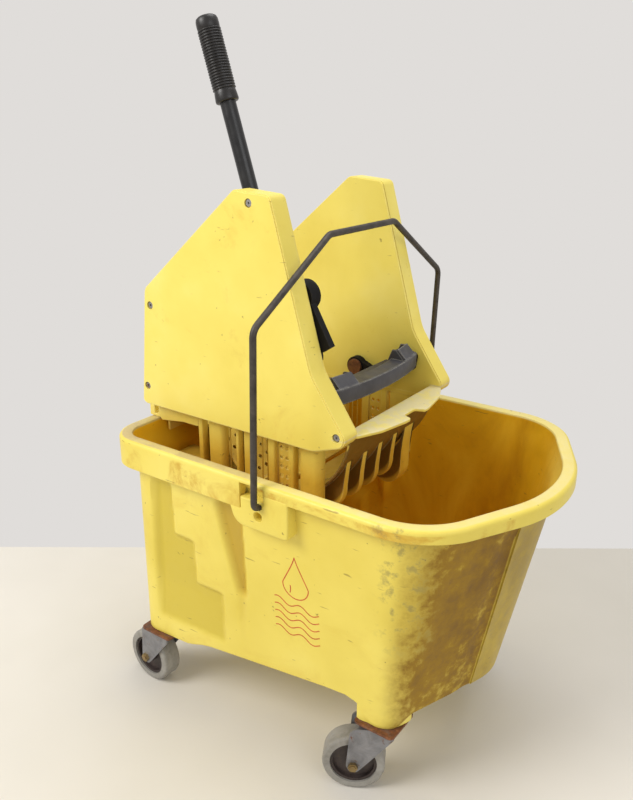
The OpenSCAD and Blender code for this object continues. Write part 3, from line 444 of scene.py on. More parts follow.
def station_plan():
    """Steps round each corner and the fractions along each edge of the bucket's outline."""
    x0, x1 = REAR + 47, 144.6
    marks = [step + side for step in (*POCKET, 33) for side in (-0.4, 0.4)]    # beside the skirt's steps
    even = np.round(np.arange(x0 + 3, x1, 3.1), 2).tolist()
    stations = sorted([x for x in even if min(abs(x - k) for k in marks) > 1.2] + marks)
    side = [(x - x0) / (x1 - x0) for x in stations]
    nose, facet, rear = (np.linspace(0, 1, count)[1:-1].tolist() for count in (9, 42, 50))
    arcs = [20, 26, 10, 10, 10, 26, 20]
    return arcs, [side, [1 - f for f in facet][::-1], nose, nose, facet, [1 - f for f in side][::-1], rear]


ARCS, EDGES = station_plan()


def down(z):
    """0 at the rim, 1 at the foot."""
    return (RIM - z) / (RIM - FOOT)


def rim_ring(d):
    return outline(grown(RIM_CORNERS, d), ARCS, EDGES)


def wall_ring(z, d=0.0):
    blend = [[p + (q - p) * down(z) for p, q in zip(a, b)] for a, b in zip(WALL_CORNERS, BASE_CORNERS)]
    for corner in (blend[0], blend[-1]):
        corner[0] -= 8.5 * smooth((z - 364) / 30)   # flares out to the rim at the rear
    return outline(grown(blend, d), ARCS, EDGES)


def relief(x, z):
    """Soft masks of the stepped recess and of the valley in a side wall."""
    below = RELIEF_TOP - z

    def recess(x, below):
        pad = np.select([below < step for step in PAD_STEPS], PAD_EDGES)
        return (x > -208 - below * 0.03) & (x < pad) & (below > 0) & (below < PAD_STEPS[-1])

    def valley(x, below):
        left = PAD_EDGES[2] + np.interp(below, [0, 72, 126, 200], [0, 16, 29, 31])
        right = PAD_EDGES[2] + np.interp(below, [0, 126, 200], [41, 41, 33])
        fade = np.interp(below, [0, 126, 132, 200], [1, 1, 0.3, 0.1])
        return ((x > left) & (x < right) & (below > 0) & (below < 200)) * fade

    offsets = (-4, -2.4, -0.8, 0.8, 2.4, 4)
    moves = [(i, j) for i in offsets for j in offsets]
    return [sum(shape(x + i, below - j) * 1.0 for i, j in moves) / len(moves) for shape in (recess, valley)]


def relief_depth(x, z):
    return RELIEF_DEPTH * sum(relief(x, z)) * (1 - 0.75 * np.clip((RELIEF_TOP - 160 - z) / 60, 0, 1))


def foot_line(points):
    """Height of the wall's lower edge above each place [x, y] of the base outline."""
    x, y = points[:, 0], np.abs(points[:, 1])
    side = np.interp(x, [-168, -158, -140, -125, 60, 90, 106, 119, 128],
                     [0, 2.5, 8.5, 11.5, 29.5, 31, 26, 7, 0])
    end = 14 * smooth((158 - y) / 26)
    return FOOT + np.where(y > 158, side, end)


def build_bucket(material):
    """The bucket in one skin, from the floor inside over the rim and down to the floor's underside."""
    base = wall_ring(FOOT)
    count = len(base)
    low = foot_line(base)
    x_rim, y_rim = rim_ring(0).T
    on_side = np.abs(y_rim) > HALF - 0.5
    rings, tags = [], []

    def put(points, z, kind):
        z = np.broadcast_to(np.asarray(z, dtype=float), (count,))
        rings.append(np.column_stack([points, z]))
        tags.append(kind)

    def wall(z, extra=0.0):
        """Wall outline at one height per ring, with its relief and the dip beside each crease."""
        at = wall_ring(z, 0.0)
        inwards = wall_ring(z, -1.0) - at
        depth = np.where(np.abs(at[:, 1]) > 140, relief_depth(at[:, 0], np.full(count, z)), 0.0)
        off = np.abs(at[:, 1]) - (CREASE_Y[0] + (CREASE_Y[1] - CREASE_Y[0]) * down(z))
        fade = smooth((RIM - 16 - z) / 40) * (1 - 0.5 * down(z))
        depth += np.where((off > 0) & (at[:, 0] > 100), 4.2 * fade * np.exp(-((off - 9) / 13.0) ** 2), 0.0)
        return at + inwards * (depth + extra)[:, None]

    def wall_at(z, extra=0.0):
        """Wall outline whose height differs along it."""
        ring = np.empty((count, 2))
        for value in np.unique(np.round(z, 1)):
            pick = np.abs(z - value) < 0.0501
            ring[pick] = wall(value, extra)[pick]
        return ring

    def pocketed(d, back):
        """Rim outline that steps back to make room for the bail's leg."""
        ring = rim_ring(d)
        ring[pocket] = rim_ring(back)[pocket]
        return ring

    # inside floor and wall
    for d, z in ((-26, FLOOR), (-18, FLOOR + 0.4), (-12, FLOOR + 2), (-8, FLOOR + 5), (-5.6, FLOOR + 9)):
        put(wall_ring(z, d), z, "floor")
    for z in np.linspace(FLOOR + 14, 372, 26):
        put(wall(z, WALL), z, "inside")
    for k, z in enumerate((381, 389, 396, 401, 404.5)):
        w = smooth((k + 1) / 5.0)
        put(wall_ring(z, -WALL) * (1 - w) + rim_ring(-18) * w, z, "inside")
    for d, z in ((-17.7, 406.3), (-16.9, 407.5), (-15.6, RIM), (-11, RIM), (-5.2, RIM)):
        put(rim_ring(d), z, "rim")
    for a in np.radians((22, 45, 68, 90)):
        put(rim_ring(ROLL * (math.sin(a) - 1)), RIM - ROLL * (1 - math.cos(a)), "edge")
    # skirt, deep behind the bail's leg, with a pocket for the leg
    depth = np.where((on_side | (x_rim < -100)) & (x_rim < POCKET[0]), DEEP_SKIRT, SKIRT)
    skirt_end = RIM - depth - smooth((x_rim - 200) / 80) * 4
    pocket = on_side & (x_rim > POCKET[0]) & (x_rim < POCKET[1])
    for f in np.linspace(0.1, 1, 10):
        put(pocketed(0, -11), RIM - ROLL - (RIM - ROLL - skirt_end - 0.8) * f, "skirt")
    put(pocketed(-0.9, -11.5), skirt_end, "skirt")
    inner = pocketed(-3.5, -12)
    put(inner, skirt_end, "under")
    put(inner, np.maximum(skirt_end, 403.5), "under")
    # outside wall
    put(wall(404), 403.6, "under")
    levels = np.arange(400, 152, -3.4)
    for z in levels:
        put(wall(z), z, "outside")
    for k in range(1, 15):
        z = levels[-1] + (low + 1.6 - levels[-1]) * (k / 14)
        put(wall_at(z), z, "outside")
    for d, dz in ((0.6, 0.5), (2.0, 0.0), (WALL - 0.4, 0.0), (WALL, 1.2)):
        put(wall_at(low + dz, d), low + dz, "under")
    put(wall_ring(FLOOR - WALL, -WALL), FLOOR - WALL, "under")

    points = np.concatenate(rings)
    kinds = np.repeat(np.array(tags), count)
    x, y, z = points.T
    outside = (kinds == "outside") * 1.0
    recess, valley = (outside * (np.abs(y) > 140) * mask for mask in relief(x, z))
    crease_x, crease_y = (a + (b - a) * down(z) for a, b in (CREASE_X, CREASE_Y))
    # grime and painted shade: grime strongest on the facet beside the crease, fading back round the shoulder;
    # next to the crease it also sets a painted shade
    facet = outside * smooth((x - 120) / 50) * (np.abs(y) > crease_y)
    near = 0.3 + 0.7 * np.exp(-((crease_x - x) / 46.0) ** 2)
    grime_and_shade = facet * near * smooth((x - 148 + down(z) * 45) / 40)
    masks = {
        "inside": np.isin(kinds, ("inside", "floor")), "rim": kinds == "rim", "skirt": kinds == "skirt",
        "recess": recess, "valley": valley, "grime_and_shade": np.clip(grime_and_shade, 0, 1),
        "spout": outside * (np.abs(y) <= crease_y) * (x > 100)
    }
    faces = skinned(len(rings), count)
    return mesh_object("bucket_shell", points, faces, material, "bucket", ("bucket",), 34, masks)


def build_bosses(material):
    """The two bail bosses, with their bores and the spare hole, and the pads over the casters."""
    b = Build()
    corners = [
        [LEG_X + 42, RIM - 62, 5], [LEG_X + 42, RIM - 12, 1], [LEG_X + 6, RIM - 12, 1],
        [LEG_X + 6, RIM - 23, 1], [LEG_X - 29, RIM - 23, 1], [LEG_X - 29, RIM - 38, 1],
        [LEG_X - 46, RIM - 38, 1], [LEG_X - 38, RIM - 62, 19]
    ]
    holes = [(LEG_X, RIM - 29, 4.3), (LEG_X - 2, RIM - 43, 6.2)]
    face = -HALF - 0.5

    def rows(profile, shape):
        """Rows of an outline at each [depth, growth]."""
        rings = [[(x, face + depth, z) for x, z in shape(d)] for depth, d in profile]
        return b.grid(rings, caps=False)

    front = rows(((0.0, -2.6), (0.4, -1.3), (1.2, -0.4), (2.4, 0.0), (19.0, 0.0)),
                 lambda d: outline(grown(corners, d), [8, 2, 2, 2, 2, 2, 2, 14]))[0]
    mouths = [front]
    for x, z, r in holes:
        made = rows(((0.0, 0.9), (0.5, 0.25), (1.2, 0.0), (12.0, 0.0)), lambda d: circle(x, z, r + d, 28))
        b.work.faces.new(made[-1])
        mouths.append(made[0])
    b.fill([([(v.co.x, v.co.z) for v in row], row) for row in mouths],
           [np.array(circle(x, z, r, 28)) for x, z, r in holes])
    b.mirrored()
    wall = wall_ring(FOOT + 2, -1.5)
    for px, py in CASTERS:
        shape = []
        for direction in np.array(circle(0, 0, 1, 48)):
            for r in np.linspace(34, 4, 40):
                q = np.array([px, py]) + r * direction
                if inside_outline(q, wall):
                    break
            shape.append(q)
        b.plan(shape, FOOT + 0.3, 143, 0)
        b.plan([(x, -y) for x, y in shape], FOOT + 0.3, 143, 0)
    return b.finish("bail_bosses", material, "bucket")


def build_print(material):
    """A generic drop over five waves, printed as thin red outlines on the near side."""
    b = Build()

    def surface(x, z):
        ring = wall_ring(z)
        near = ring[(ring[:, 1] < -100) & (ring[:, 0] > -150) & (ring[:, 0] < 150)]
        order = np.argsort(near[:, 0])
        return float(np.interp(x, near[order, 0], near[order, 1]))

    def line(points, width=1.3, closed=False):
        rows = []
        for i, point in enumerate(points):
            before = points[i - 1] if closed or i else point
            after = points[(i + 1) % len(points)] if closed or i < len(points) - 1 else point
            d = (Vector(after) - Vector(before)).normalized()
            n = Vector((-d.y, d.x)) * width / 2
            ring = []
            for side, out in ((1, -0.22), (-1, -0.22), (-1, 0.3), (1, 0.3)):
                q = Vector(point) + side * n
                ring.append((q.x, surface(q.x, q.y) + out, q.y))
            rows.append(ring)
        if closed:
            rows.append(rows[0])
        b.grid(rows, caps=not closed)

    mid, base, drop_z, drop_r = 24.0, RIM - 205, RIM - 134, 19.0
    for k in range(5):
        line([(mid - 33 + 66 * u, base + 11 * k - 6 * u + 3.6 * math.sin(4 * math.pi * u + 0.5))
              for u in np.linspace(0, 1, 25)])
    drop = []
    for a in np.radians(np.arange(44) / 44 * 360 - 90):
        x, z = drop_r * math.cos(a), drop_r * math.sin(a)
        if z > 0:
            k = z / drop_r
            x *= (1 - k) ** 0.75 * (1 + 0.35 * k)
            z *= 1 + 1.15 * k
        drop.append((mid + x, drop_z + z))
    line(drop, closed=True)
    line([(mid - 9 + 1.5 * math.cos(t), drop_z - 5 - 7 * math.sin(t)) for t in np.linspace(-0.6, 1.5, 10)])
    return b.finish("side_print", material, "bucket")


# ---- materials

def speckle(n, scale, keep, vector=None):
    """Sparse small marks: 1 on a mark, 0 elsewhere."""
    return n.band(n.noise(scale, 2.0, 0.5, vector), 1 - keep, 1 - keep + 0.06)


def bucket_plastic():
    n = Nodes("bucket_plastic")
    x, z = n.axis("X"), n.axis("Z")
    inside, rim, grime_and_shade = (n.attribute(name) for name in ("inside", "rim", "grime_and_shade"))
    fine = n.noise(60.0, 5.0, 0.65)
    blotch = n.noise(11.0, 6.0, 0.7, None, 0.6)
    base = n.ramp(n.noise(5.0, 4.0, 0.55),
                  [(0.3, (222, 200, 80)), (0.55, (234, 214, 98)), (0.75, (240, 223, 116))])
    base = n.stain(base, (212, 178, 62), n.band(blotch, 0.5, 0.75), 0.35)
    # orange stains that sit on the skirt; the relief's recess and valley painted darker as shade
    base = n.stain(base, (196, 146, 28), n.band(blotch, 0.46, 0.66), n.times(n.attribute("skirt"), 0.75))
    base = n.stain(base, (202, 180, 58), n.attribute("recess"), 0.85)
    base = n.stain(base, (178, 142, 26), n.attribute("valley"), 0.8)
    # olive-brown cloudy grime down the front facets; along the crease the darkest brown is painted shade; the
    # spout panel a darker tan
    cloud = n.mix(0.4, n.noise(7.0, 6.0, 0.55, n.stretched((1.4, 1.4, 0.6)), 0.2), fine)
    dirt = n.ramp(cloud, [(0.34, (118, 84, 4)), (0.5, (150, 114, 10)), (0.68, (180, 146, 26))])
    worn = n.times(n.band(grime_and_shade, 0.0, 0.8), n.maths("ADD", 0.55, n.band(cloud, 0.66, 0.4)), clamp=True)
    base = n.mix(worn, base, dirt)
    # painted shade along the crease
    crease = n.times(n.band(grime_and_shade, 0.8, 1.0), n.band(cloud, 0.6, 0.44))
    base = n.stain(base, (98, 64, 2), crease, 0.5)
    tan = n.ramp(cloud, [(0.38, (142, 114, 28)), (0.5, (170, 142, 44)), (0.64, (192, 166, 66))])
    base = n.stain(base, tan, n.attribute("spout"), 0.88)
    # inside: brown-orange tide marks, and a painted pool of light, paler, high up at the pouring end
    deep = n.ramp(n.noise(9.0, 6.0, 0.65, n.stretched((1.0, 1.0, 0.5)), 0.8),
                  [(0.3, (196, 144, 16)), (0.5, (222, 172, 26)), (0.7, (236, 194, 48))])
    deep = n.stain(deep, (214, 188, 84), n.band(x, 0.20, 0.27), n.band(z, 0.30, 0.40), 0.75)
    deep = n.stain(deep, (240, 190, 34), n.band(z, 0.33, 0.40), n.band(x, -0.14, -0.23))
    base = n.mix(inside, base, deep)
    # rim: a painted highlight, pale on its flat, with grey-pink dirt at the rear
    rim_highlight = n.maths("ADD", 0.4, n.times(n.band(fine, 0.35, 0.65), 0.3))
    base = n.stain(base, (226, 212, 152), rim, rim_highlight)
    rear = n.times(rim, n.band(x, 0.06, -0.12), n.maths("ADD", 0.55, n.band(blotch, 0.38, 0.6)), clamp=True)
    base = n.stain(base, (190, 170, 124), rear, 0.8)
    # scratches, chips and specks, and the scuffed shoulder of the outside wall
    base = n.stain(base, (120, 92, 40), speckle(n, 62.0, 0.30, n.stretched((0.5, 1.0, 3.4))), 0.55)
    base = n.stain(base, (96, 72, 34), speckle(n, 120.0, 0.27), 0.6)
    shoulder = n.times(n.band(x, 0.135, 0.165), n.band(x, 0.215, 0.185), n.band(z, 0.20, 0.27),
                       n.band(fine, 0.5, 0.66))
    outside = n.maths("SUBTRACT", 1.0, n.maths("MAXIMUM", inside, rim), clamp=True)
    base = n.stain(base, (118, 108, 74), shoulder, outside, 0.55)
    n.colour(base)
    n.rough(n.maths("ADD", n.ramp(fine, [(0.3, 0.36), (0.7, 0.54)]), n.times(worn, 0.25), clamp=True))
    n.bump(n.maths("ADD", n.times(fine, 0.5), n.noise(240.0, 3.0)), 0.22, 0.0006)
    return n.set(Specular_IOR_Level=0.42, Coat_Weight=0.05, Coat_Roughness=0.3)


def wringer_plastic():
    n = Nodes("wringer_plastic")
    x, z = n.axis("X"), n.axis("Z")
    y = n.maths("ABSOLUTE", n.axis("Y"))
    blotch = n.noise(13.0, 6.0, 0.7, None, 0.6)
    fine = n.noise(70.0, 5.0, 0.65)
    base = n.ramp(n.noise(6.0, 4.0, 0.55),
                  [(0.3, (230, 208, 88)), (0.55, (240, 221, 106)), (0.75, (246, 231, 130))])
    # darker, blotchy orange below the covers, stronger lower down
    lower_orange = n.ramp(blotch, [(0.3, (176, 128, 20)), (0.55, (206, 162, 40)), (0.75, (224, 188, 68))])
    base = n.stain(base, lower_orange, n.band(z, 0.435, 0.375), 0.8)
    base = n.stain(base, (206, 164, 52), n.band(blotch, 0.56, 0.74), 0.32)
    # painted shade, with grime, deep between the bars; a dark strip of painted shade at the front under each
    # cover; the lip's top painted pale as a highlight
    base = n.stain(base, (104, 70, 24), n.attribute("deep"), 0.92)
    # painted shade: the dark strip at the front of the side plate under each cover
    strip = n.times(n.band(x, 0.0225, 0.0260), n.band(z, 0.4345, 0.4300), n.band(y, 0.1040, 0.1055),
                    n.band(x, 0.0600, 0.0560))
    base = n.stain(base, (122, 88, 34), strip, 0.85)
    # painted highlight: the lip's top pale
    lip = n.times(n.band(x, 0.0500, 0.0535), n.band(z, 0.4530, 0.4543), n.band(z, 0.4570, 0.4555))
    base = n.stain(base, (226, 212, 158), lip, n.maths("ADD", 0.45, n.band(fine, 0.4, 0.6)), clamp=True)
    # worn edges, scratches and specks
    base = n.stain(base, (246, 238, 190), n.band(n.edges(0.0022), 0.03, 0.16), 0.22)
    base = n.stain(base, (134, 104, 46), speckle(n, 66.0, 0.30, n.stretched((0.5, 1.0, 2.6))), 0.45)
    base = n.stain(base, (104, 80, 40), speckle(n, 130.0, 0.27), 0.55)
    n.colour(base)
    n.rough(n.ramp(fine, [(0.3, 0.34), (0.7, 0.54)]))
    n.bump(n.maths("ADD", n.times(fine, 0.5), n.noise(260.0, 3.0)), 0.2, 0.0005)
    return n.set(Specular_IOR_Level=0.42)


def red_print():
    n = Nodes("red_print")
    n.colour(n.ramp(n.noise(90.0, 4.0), [(0.35, (176, 62, 30)), (0.6, (206, 96, 48))]))
    n.rough(n.ramp(n.noise(120.0, 3.0), [(0.3, 0.45), (0.7, 0.65)]))
    n.bump(n.noise(300.0, 3.0), 0.2, 0.0002)
    return n.owner


def metal(name, low, high, rough, rust=0.0, metallic=0.85, edge=0.0, scale=40.0, shine=0.5):
    """Metal between two colours, with rust patches and pale worn edges where asked."""
    n = Nodes(name)
    base = n.ramp(n.noise(scale, 6.0, 0.68, None, 0.5), [(0.3, low), (0.7, high)])
    n.set(Metallic=metallic, Specular_IOR_Level=shine)
    if rust:
        patch = n.band(n.noise(scale * 1.7, 7.0, 0.72, None, 1.0), 0.62 - rust * 0.35, 0.70 - rust * 0.25)
        red = n.ramp(n.noise(scale * 4, 5.0),
                     [(0.3, (72, 40, 24)), (0.55, (118, 70, 40)), (0.75, (150, 98, 60))])
        base = n.mix(patch, base, red)
        fade = n.maths("SUBTRACT", metallic, n.times(patch, metallic * 0.9), clamp=True)
        n.link(fade, n.shader.inputs["Metallic"])
    if edge:
        wear = n.times(n.band(n.edges(0.0016), 0.02, 0.16), n.band(n.noise(90.0, 4.0), 0.35, 0.6))
        base = n.stain(base, (176, 172, 164), wear, edge)
    n.colour(base)
    n.rough(n.ramp(n.noise(scale * 2, 5.0), [(0.3, rough - 0.1), (0.7, rough + 0.12)]))
    n.bump(n.noise(scale * 8, 4.0), 0.25, 0.0003)
    return n.owner


def press_plastic():
    n = Nodes("press_plastic")
    base = n.ramp(n.noise(18.0, 6.0, 0.65),
                  [(0.3, (52, 50, 54)), (0.6, (68, 67, 71)), (0.8, (84, 83, 85))])
    wear = n.times(n.band(n.edges(0.0025), 0.015, 0.12), n.band(n.noise(60.0, 4.0), 0.3, 0.6))
    base = n.stain(base, (168, 166, 160), wear, 0.75)
    base = n.stain(base, (150, 146, 138), speckle(n, 40.0, 0.33, n.stretched((1.0, 0.3, 1.0))), 0.35)
    n.colour(base)
    n.rough(n.ramp(n.noise(50.0, 4.0), [(0.3, 0.42), (0.7, 0.66)]))
    n.bump(n.noise(220.0, 4.0), 0.25, 0.0004)
    return n.owner


def rubber(name, low, high, rough):
    """Rubber or plain plastic between two colours, with specks of dirt."""
    n = Nodes(name)
    base = n.ramp(n.noise(45.0, 6.0, 0.68, None, 0.4), [(0.3, low), (0.7, high)])
    n.colour(n.stain(base, (70, 60, 50), speckle(n, 150.0, 0.3), 0.4))
    n.rough(n.ramp(n.noise(80.0, 4.0), [(0.3, rough - 0.08), (0.7, rough + 0.1)]))
    n.bump(n.noise(350.0, 4.0), 0.3, 0.0003)
    return n.owner


def gloss_black(name, rough=0.22):
    n = Nodes(name)
    base = n.ramp(n.noise(30.0, 5.0, 0.6), [(0.3, (14, 14, 16)), (0.7, (26, 26, 28))])
    n.colour(n.stain(base, (86, 80, 74), speckle(n, 46.0, 0.31, n.stretched((1.0, 1.0, 0.25))), 0.35))
    n.rough(n.ramp(n.noise(60.0, 5.0), [(0.35, rough), (0.7, rough + 0.2)]))
    n.bump(n.noise(160.0, 4.0), 0.12, 0.0003)
    return n.owner


def soften(node, width, steps=2):
    """Rounds the edges of a CAD node as it is shown."""
    flat = node.modifiers.new("flat", "DECIMATE")
    flat.decimate_type = "DISSOLVE"
    flat.angle_limit = math.radians(0.6)
    bevel = node.modifiers.new("edges", "BEVEL")
    bevel.width = width * MM
    bevel.segments = steps
    bevel.limit_method = "ANGLE"
    bevel.angle_limit = math.radians(32)
    node.data.polygons.foreach_set("use_smooth", [True] * len(node.data.polygons))


def dress_nodes(yellow):
    """Gives every CAD node its material, by node or by kind of piece, and returns the materials by node."""
    zinc = metal("zinc", (128, 126, 126), (172, 171, 172), 0.42, rust=0.25)
    spring = metal("spring_steel", (92, 90, 88), (126, 124, 120), 0.38)
    casting = metal("black_casting", (12, 11, 11), (22, 20, 20), 0.68, metallic=0.0, edge=0.08, shine=0.2)
    acetal = rubber("acetal", (206, 200, 180), (226, 221, 204), 0.4)
    looks = {
        "bail": metal("bail_wire", (46, 42, 38), (84, 77, 70), 0.5, metallic=0.35, scale=60.0),
        "cover_screws": zinc, "tube_bolts": zinc, "press_screws": zinc, "caster_screws": zinc,
        "lever_bush": acetal, "press_bushes": acetal,
        "lever_spring": spring, "press_spring": spring, "lever_clip": spring, "press_clips": spring,
        "lever_gear": casting, "press_gear": casting, "press_arm": casting,
        "lever_shaft": metal("turned_steel", (150, 148, 144), (186, 184, 178), 0.3),
        "lever_tube": gloss_black("tube_black"),
        "hand_grip": rubber("grip_black", (15, 13, 13), (27, 24, 23), 0.36),
        "press_plate": press_plastic(), "sieve_plate": yellow,
        "press_pins": metal("brown_pin", (92, 60, 36), (134, 92, 58), 0.55, rust=0.6, metallic=0.3),
    }
    caster_looks = {
        "plate": metal("rusty_plate", (98, 74, 60), (132, 104, 88), 0.6, rust=0.75, metallic=0.35),
        "kingpin": zinc,
        "fork": metal("zinc_fork", (118, 118, 122), (158, 158, 162), 0.45, rust=0.12, metallic=0.7),
        "axle": metal("brassy_nut", (120, 100, 66), (170, 148, 104), 0.4, rust=0.2),
        "hub": rubber("hub_dark", (44, 36, 34), (74, 62, 58), 0.5),
        "tyre": rubber("tyre_grey", (128, 124, 116), (160, 157, 150), 0.62)
    }
    for name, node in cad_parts.items():
        part = name.split("_")[-1]
        node.data.materials.clear()
        node.data.materials.append(looks.get(name) or caster_looks.get(part, yellow))
        if name in ("near_cover", "far_cover"):
            soften(node, 2.2, 3)
        elif name in ("lever_gear", "press_gear", "press_arm") or part in ("plate", "fork"):
            soften(node, 0.8)
    return looks


# ---- wringer

PIVOT = (-73.0, RIM + 56)        # the press's pivot
SWEEP = 121.0                    # reach of the press about it
SIDE_IN, SIDE_OUT = 106.0, 109.0
COLUMN = 118.0                   # outer face of the posts and panels under the covers
BASKET_REAR = -196.0
BASKET_FLOOR = PIVOT[1] - SWEEP - 4
COVER_LOW = RIM + 25
LIP_TOP = RIM + 46.5
SADDLE_REAR = -279.5
POSTS = (                        # rear and front of each post, and its corners' radius
    (-188, -180, 2), (-171, -142, 6), (-121, -116, 1.5), (-108, -96, 3), (-68, -56, 3), (-35, -26, 2.5),
    (-20, 15, 9)
)
GAPS = ((-139, -129), (-123, -116), (-84, -76))
FINS = ((-91, 5, 0), (-53.5, 5, 0), (-16, 5, 0), (21.5, 5, 0), (59, 12, -22))    # middle, half width, drop
SIDE_CORNERS = [
    [-274, COVER_LOW, 7], [16, COVER_LOW - 1, 40], [67, RIM + 42, 12], [13, RIM + 120, 60],
    [-44, RIM + 318, 9], [-97, RIM + 322, 9], [-256, RIM + 187, 14]
]


def on_sweep(a, out):
    """Place [x, z] on the press's sweep at angle a, moved outwards."""
    return PIVOT[0] + (SWEEP + out) * math.cos(a), PIVOT[1] + (SWEEP + out) * math.sin(a)


def arc_x(z, radius):
    """Front of a circle about the press's pivot at height z."""
    return PIVOT[0] + math.sqrt(max(radius ** 2 - (z - PIVOT[1]) ** 2, 0.0))


def rounded_box(x0, x1, z0, z1, r):
    return outline([[x0, z0, r], [x1, z0, r], [x1, z1, r], [x0, z1, r]], 5)


def build_basket(material):
    """Both sides of the wringer, its posts, pouring lip, floor, rear wall and saddle."""
    b = Build()
    # upper part of a side, inside its cover
    b.pierced(outline(grown(SIDE_CORNERS, -0.5), 8), [circle(*PIVOT, 10.0)], SIDE_IN, SIDE_OUT - 0.4)
    # lower part, its front on the press's sweep, with openings between the posts
    front = [(arc_x(z, SWEEP + 3.5), z) for z in np.linspace(BASKET_FLOOR + 1, COVER_LOW + 6, 22)]
    lower = [(BASKET_REAR, COVER_LOW + 6), (BASKET_REAR, BASKET_FLOOR)] + front
    gaps = [rounded_box(x0, x1, BASKET_FLOOR + 16, COVER_LOW - 5, 3.5) for x0, x1 in GAPS]
    b.pierced(lower, gaps, SIDE_IN - 0.2, SIDE_OUT)
    # posts and panels on the lower part, the wide ones a little crowned
    for x0, x1, r in POSTS:
        corners = [[x0, -COLUMN, r], [x1, -COLUMN, r], [x1, -SIDE_IN - 1, 0.5], [x0, -SIDE_IN - 1, 0.5]]
        crown = 1.6 if x1 - x0 > 25 else 0.0
        ring = [(x, y - crown * max(0.0, math.sin(math.pi * (x - x0) / (x1 - x0))) * (y < 1 - COLUMN))
                for x, y in outline(corners, [6, 6, 1, 1], [np.linspace(0, 1, 14)[1:-1], [], [], []])]
        b.plan(ring, BASKET_FLOOR + 6, COVER_LOW - 0.4, 0)
    # recess between two posts, with its blind drain holes
    pits = [circle(x, BASKET_FLOOR + 22 + 13 * i, 2.6, 16) for x in (-50, -41) for i in range(5)]
    b.pierced(rounded_box(-57, -34, BASKET_FLOOR + 8, COVER_LOW - 1, 1), pits,
              -SIDE_OUT - 2.4, -SIDE_OUT - 0.2, 0.4)
    # saddle cheek over the bucket's rear rim, with its slot
    cheek = outline(
        [[SADDLE_REAR, RIM + 0.6, 2], [-260, RIM + 0.6, 1], [-257, RIM - 3, 1], [-214, RIM + 3.5, 8],
         [-187, RIM + 3.5, 2], [-187, COVER_LOW + 2, 1], [SADDLE_REAR, COVER_LOW + 2, 3]], 5)
    b.pierced(cheek, [rounded_box(-270.5, -262.5, RIM + 4, COVER_LOW - 4, 2)], -COLUMN - 0.5, -COLUMN + 3.2)
    b.box(SADDLE_REAR, SADDLE_REAR + 3, -COLUMN, -SIDE_IN + 2, RIM + 1, COVER_LOW + 1.5, 0.6)
    b.mirrored()

    # pouring lip with a rounded notch
    half = [[44, 0.5 - SIDE_OUT, 2], [60, 0.5 - SIDE_OUT, 6], [75, -74, 40], [83, -30, 30], [83.5, -19, 4],
            [70.5, -14, 4]]
    steps = [5, 5, 5, 4, 6, 5]
    lip = outline(half + [[x, -y, r] for x, y, r in half[::-1]], steps + steps[::-1])
    b.plan(lip, LIP_TOP - 4.2, LIP_TOP, 1.2, 3)
    b.side([(44.5, LIP_TOP - 16), (48, LIP_TOP - 16), (49.5, LIP_TOP - 2), (44.5, LIP_TOP - 2)],
           0.2 - SIDE_IN, SIDE_IN - 0.2, 0.6)
    # floor with its drain holes, rear wall, saddle plate and hook
    drains = [circle(x, y, 3.0, 12) for x in range(-180, -99, 20) for y in range(-80, 81, 20)]
    b.pierced([(BASKET_REAR, -SIDE_IN), (PIVOT[0], -SIDE_IN), (PIVOT[0], SIDE_IN), (BASKET_REAR, SIDE_IN)],
              drains, BASKET_FLOOR, BASKET_FLOOR + 4, 0.5, flat=True)
    b.box(BASKET_REAR, BASKET_REAR + 4, -SIDE_OUT, SIDE_OUT, BASKET_FLOOR, COVER_LOW + 2, 0.8)
    b.box(-279, BASKET_REAR + 2, 3.2 - COLUMN, COLUMN - 3.2, RIM + 0.8, RIM + 4.4, 1.0)
    b.box(-255.5, -251.5, -SIDE_OUT, SIDE_OUT, RIM - 20, RIM + 2, 1.2)
    for y in (-97, 67):
        b.box(-248.5, BASKET_REAR + 1, y, y + 30, BASKET_FLOOR, BASKET_FLOOR + 14, 1.5)
    return b.finish("wringer_basket", material, "bucket", ("wringer_frame",))


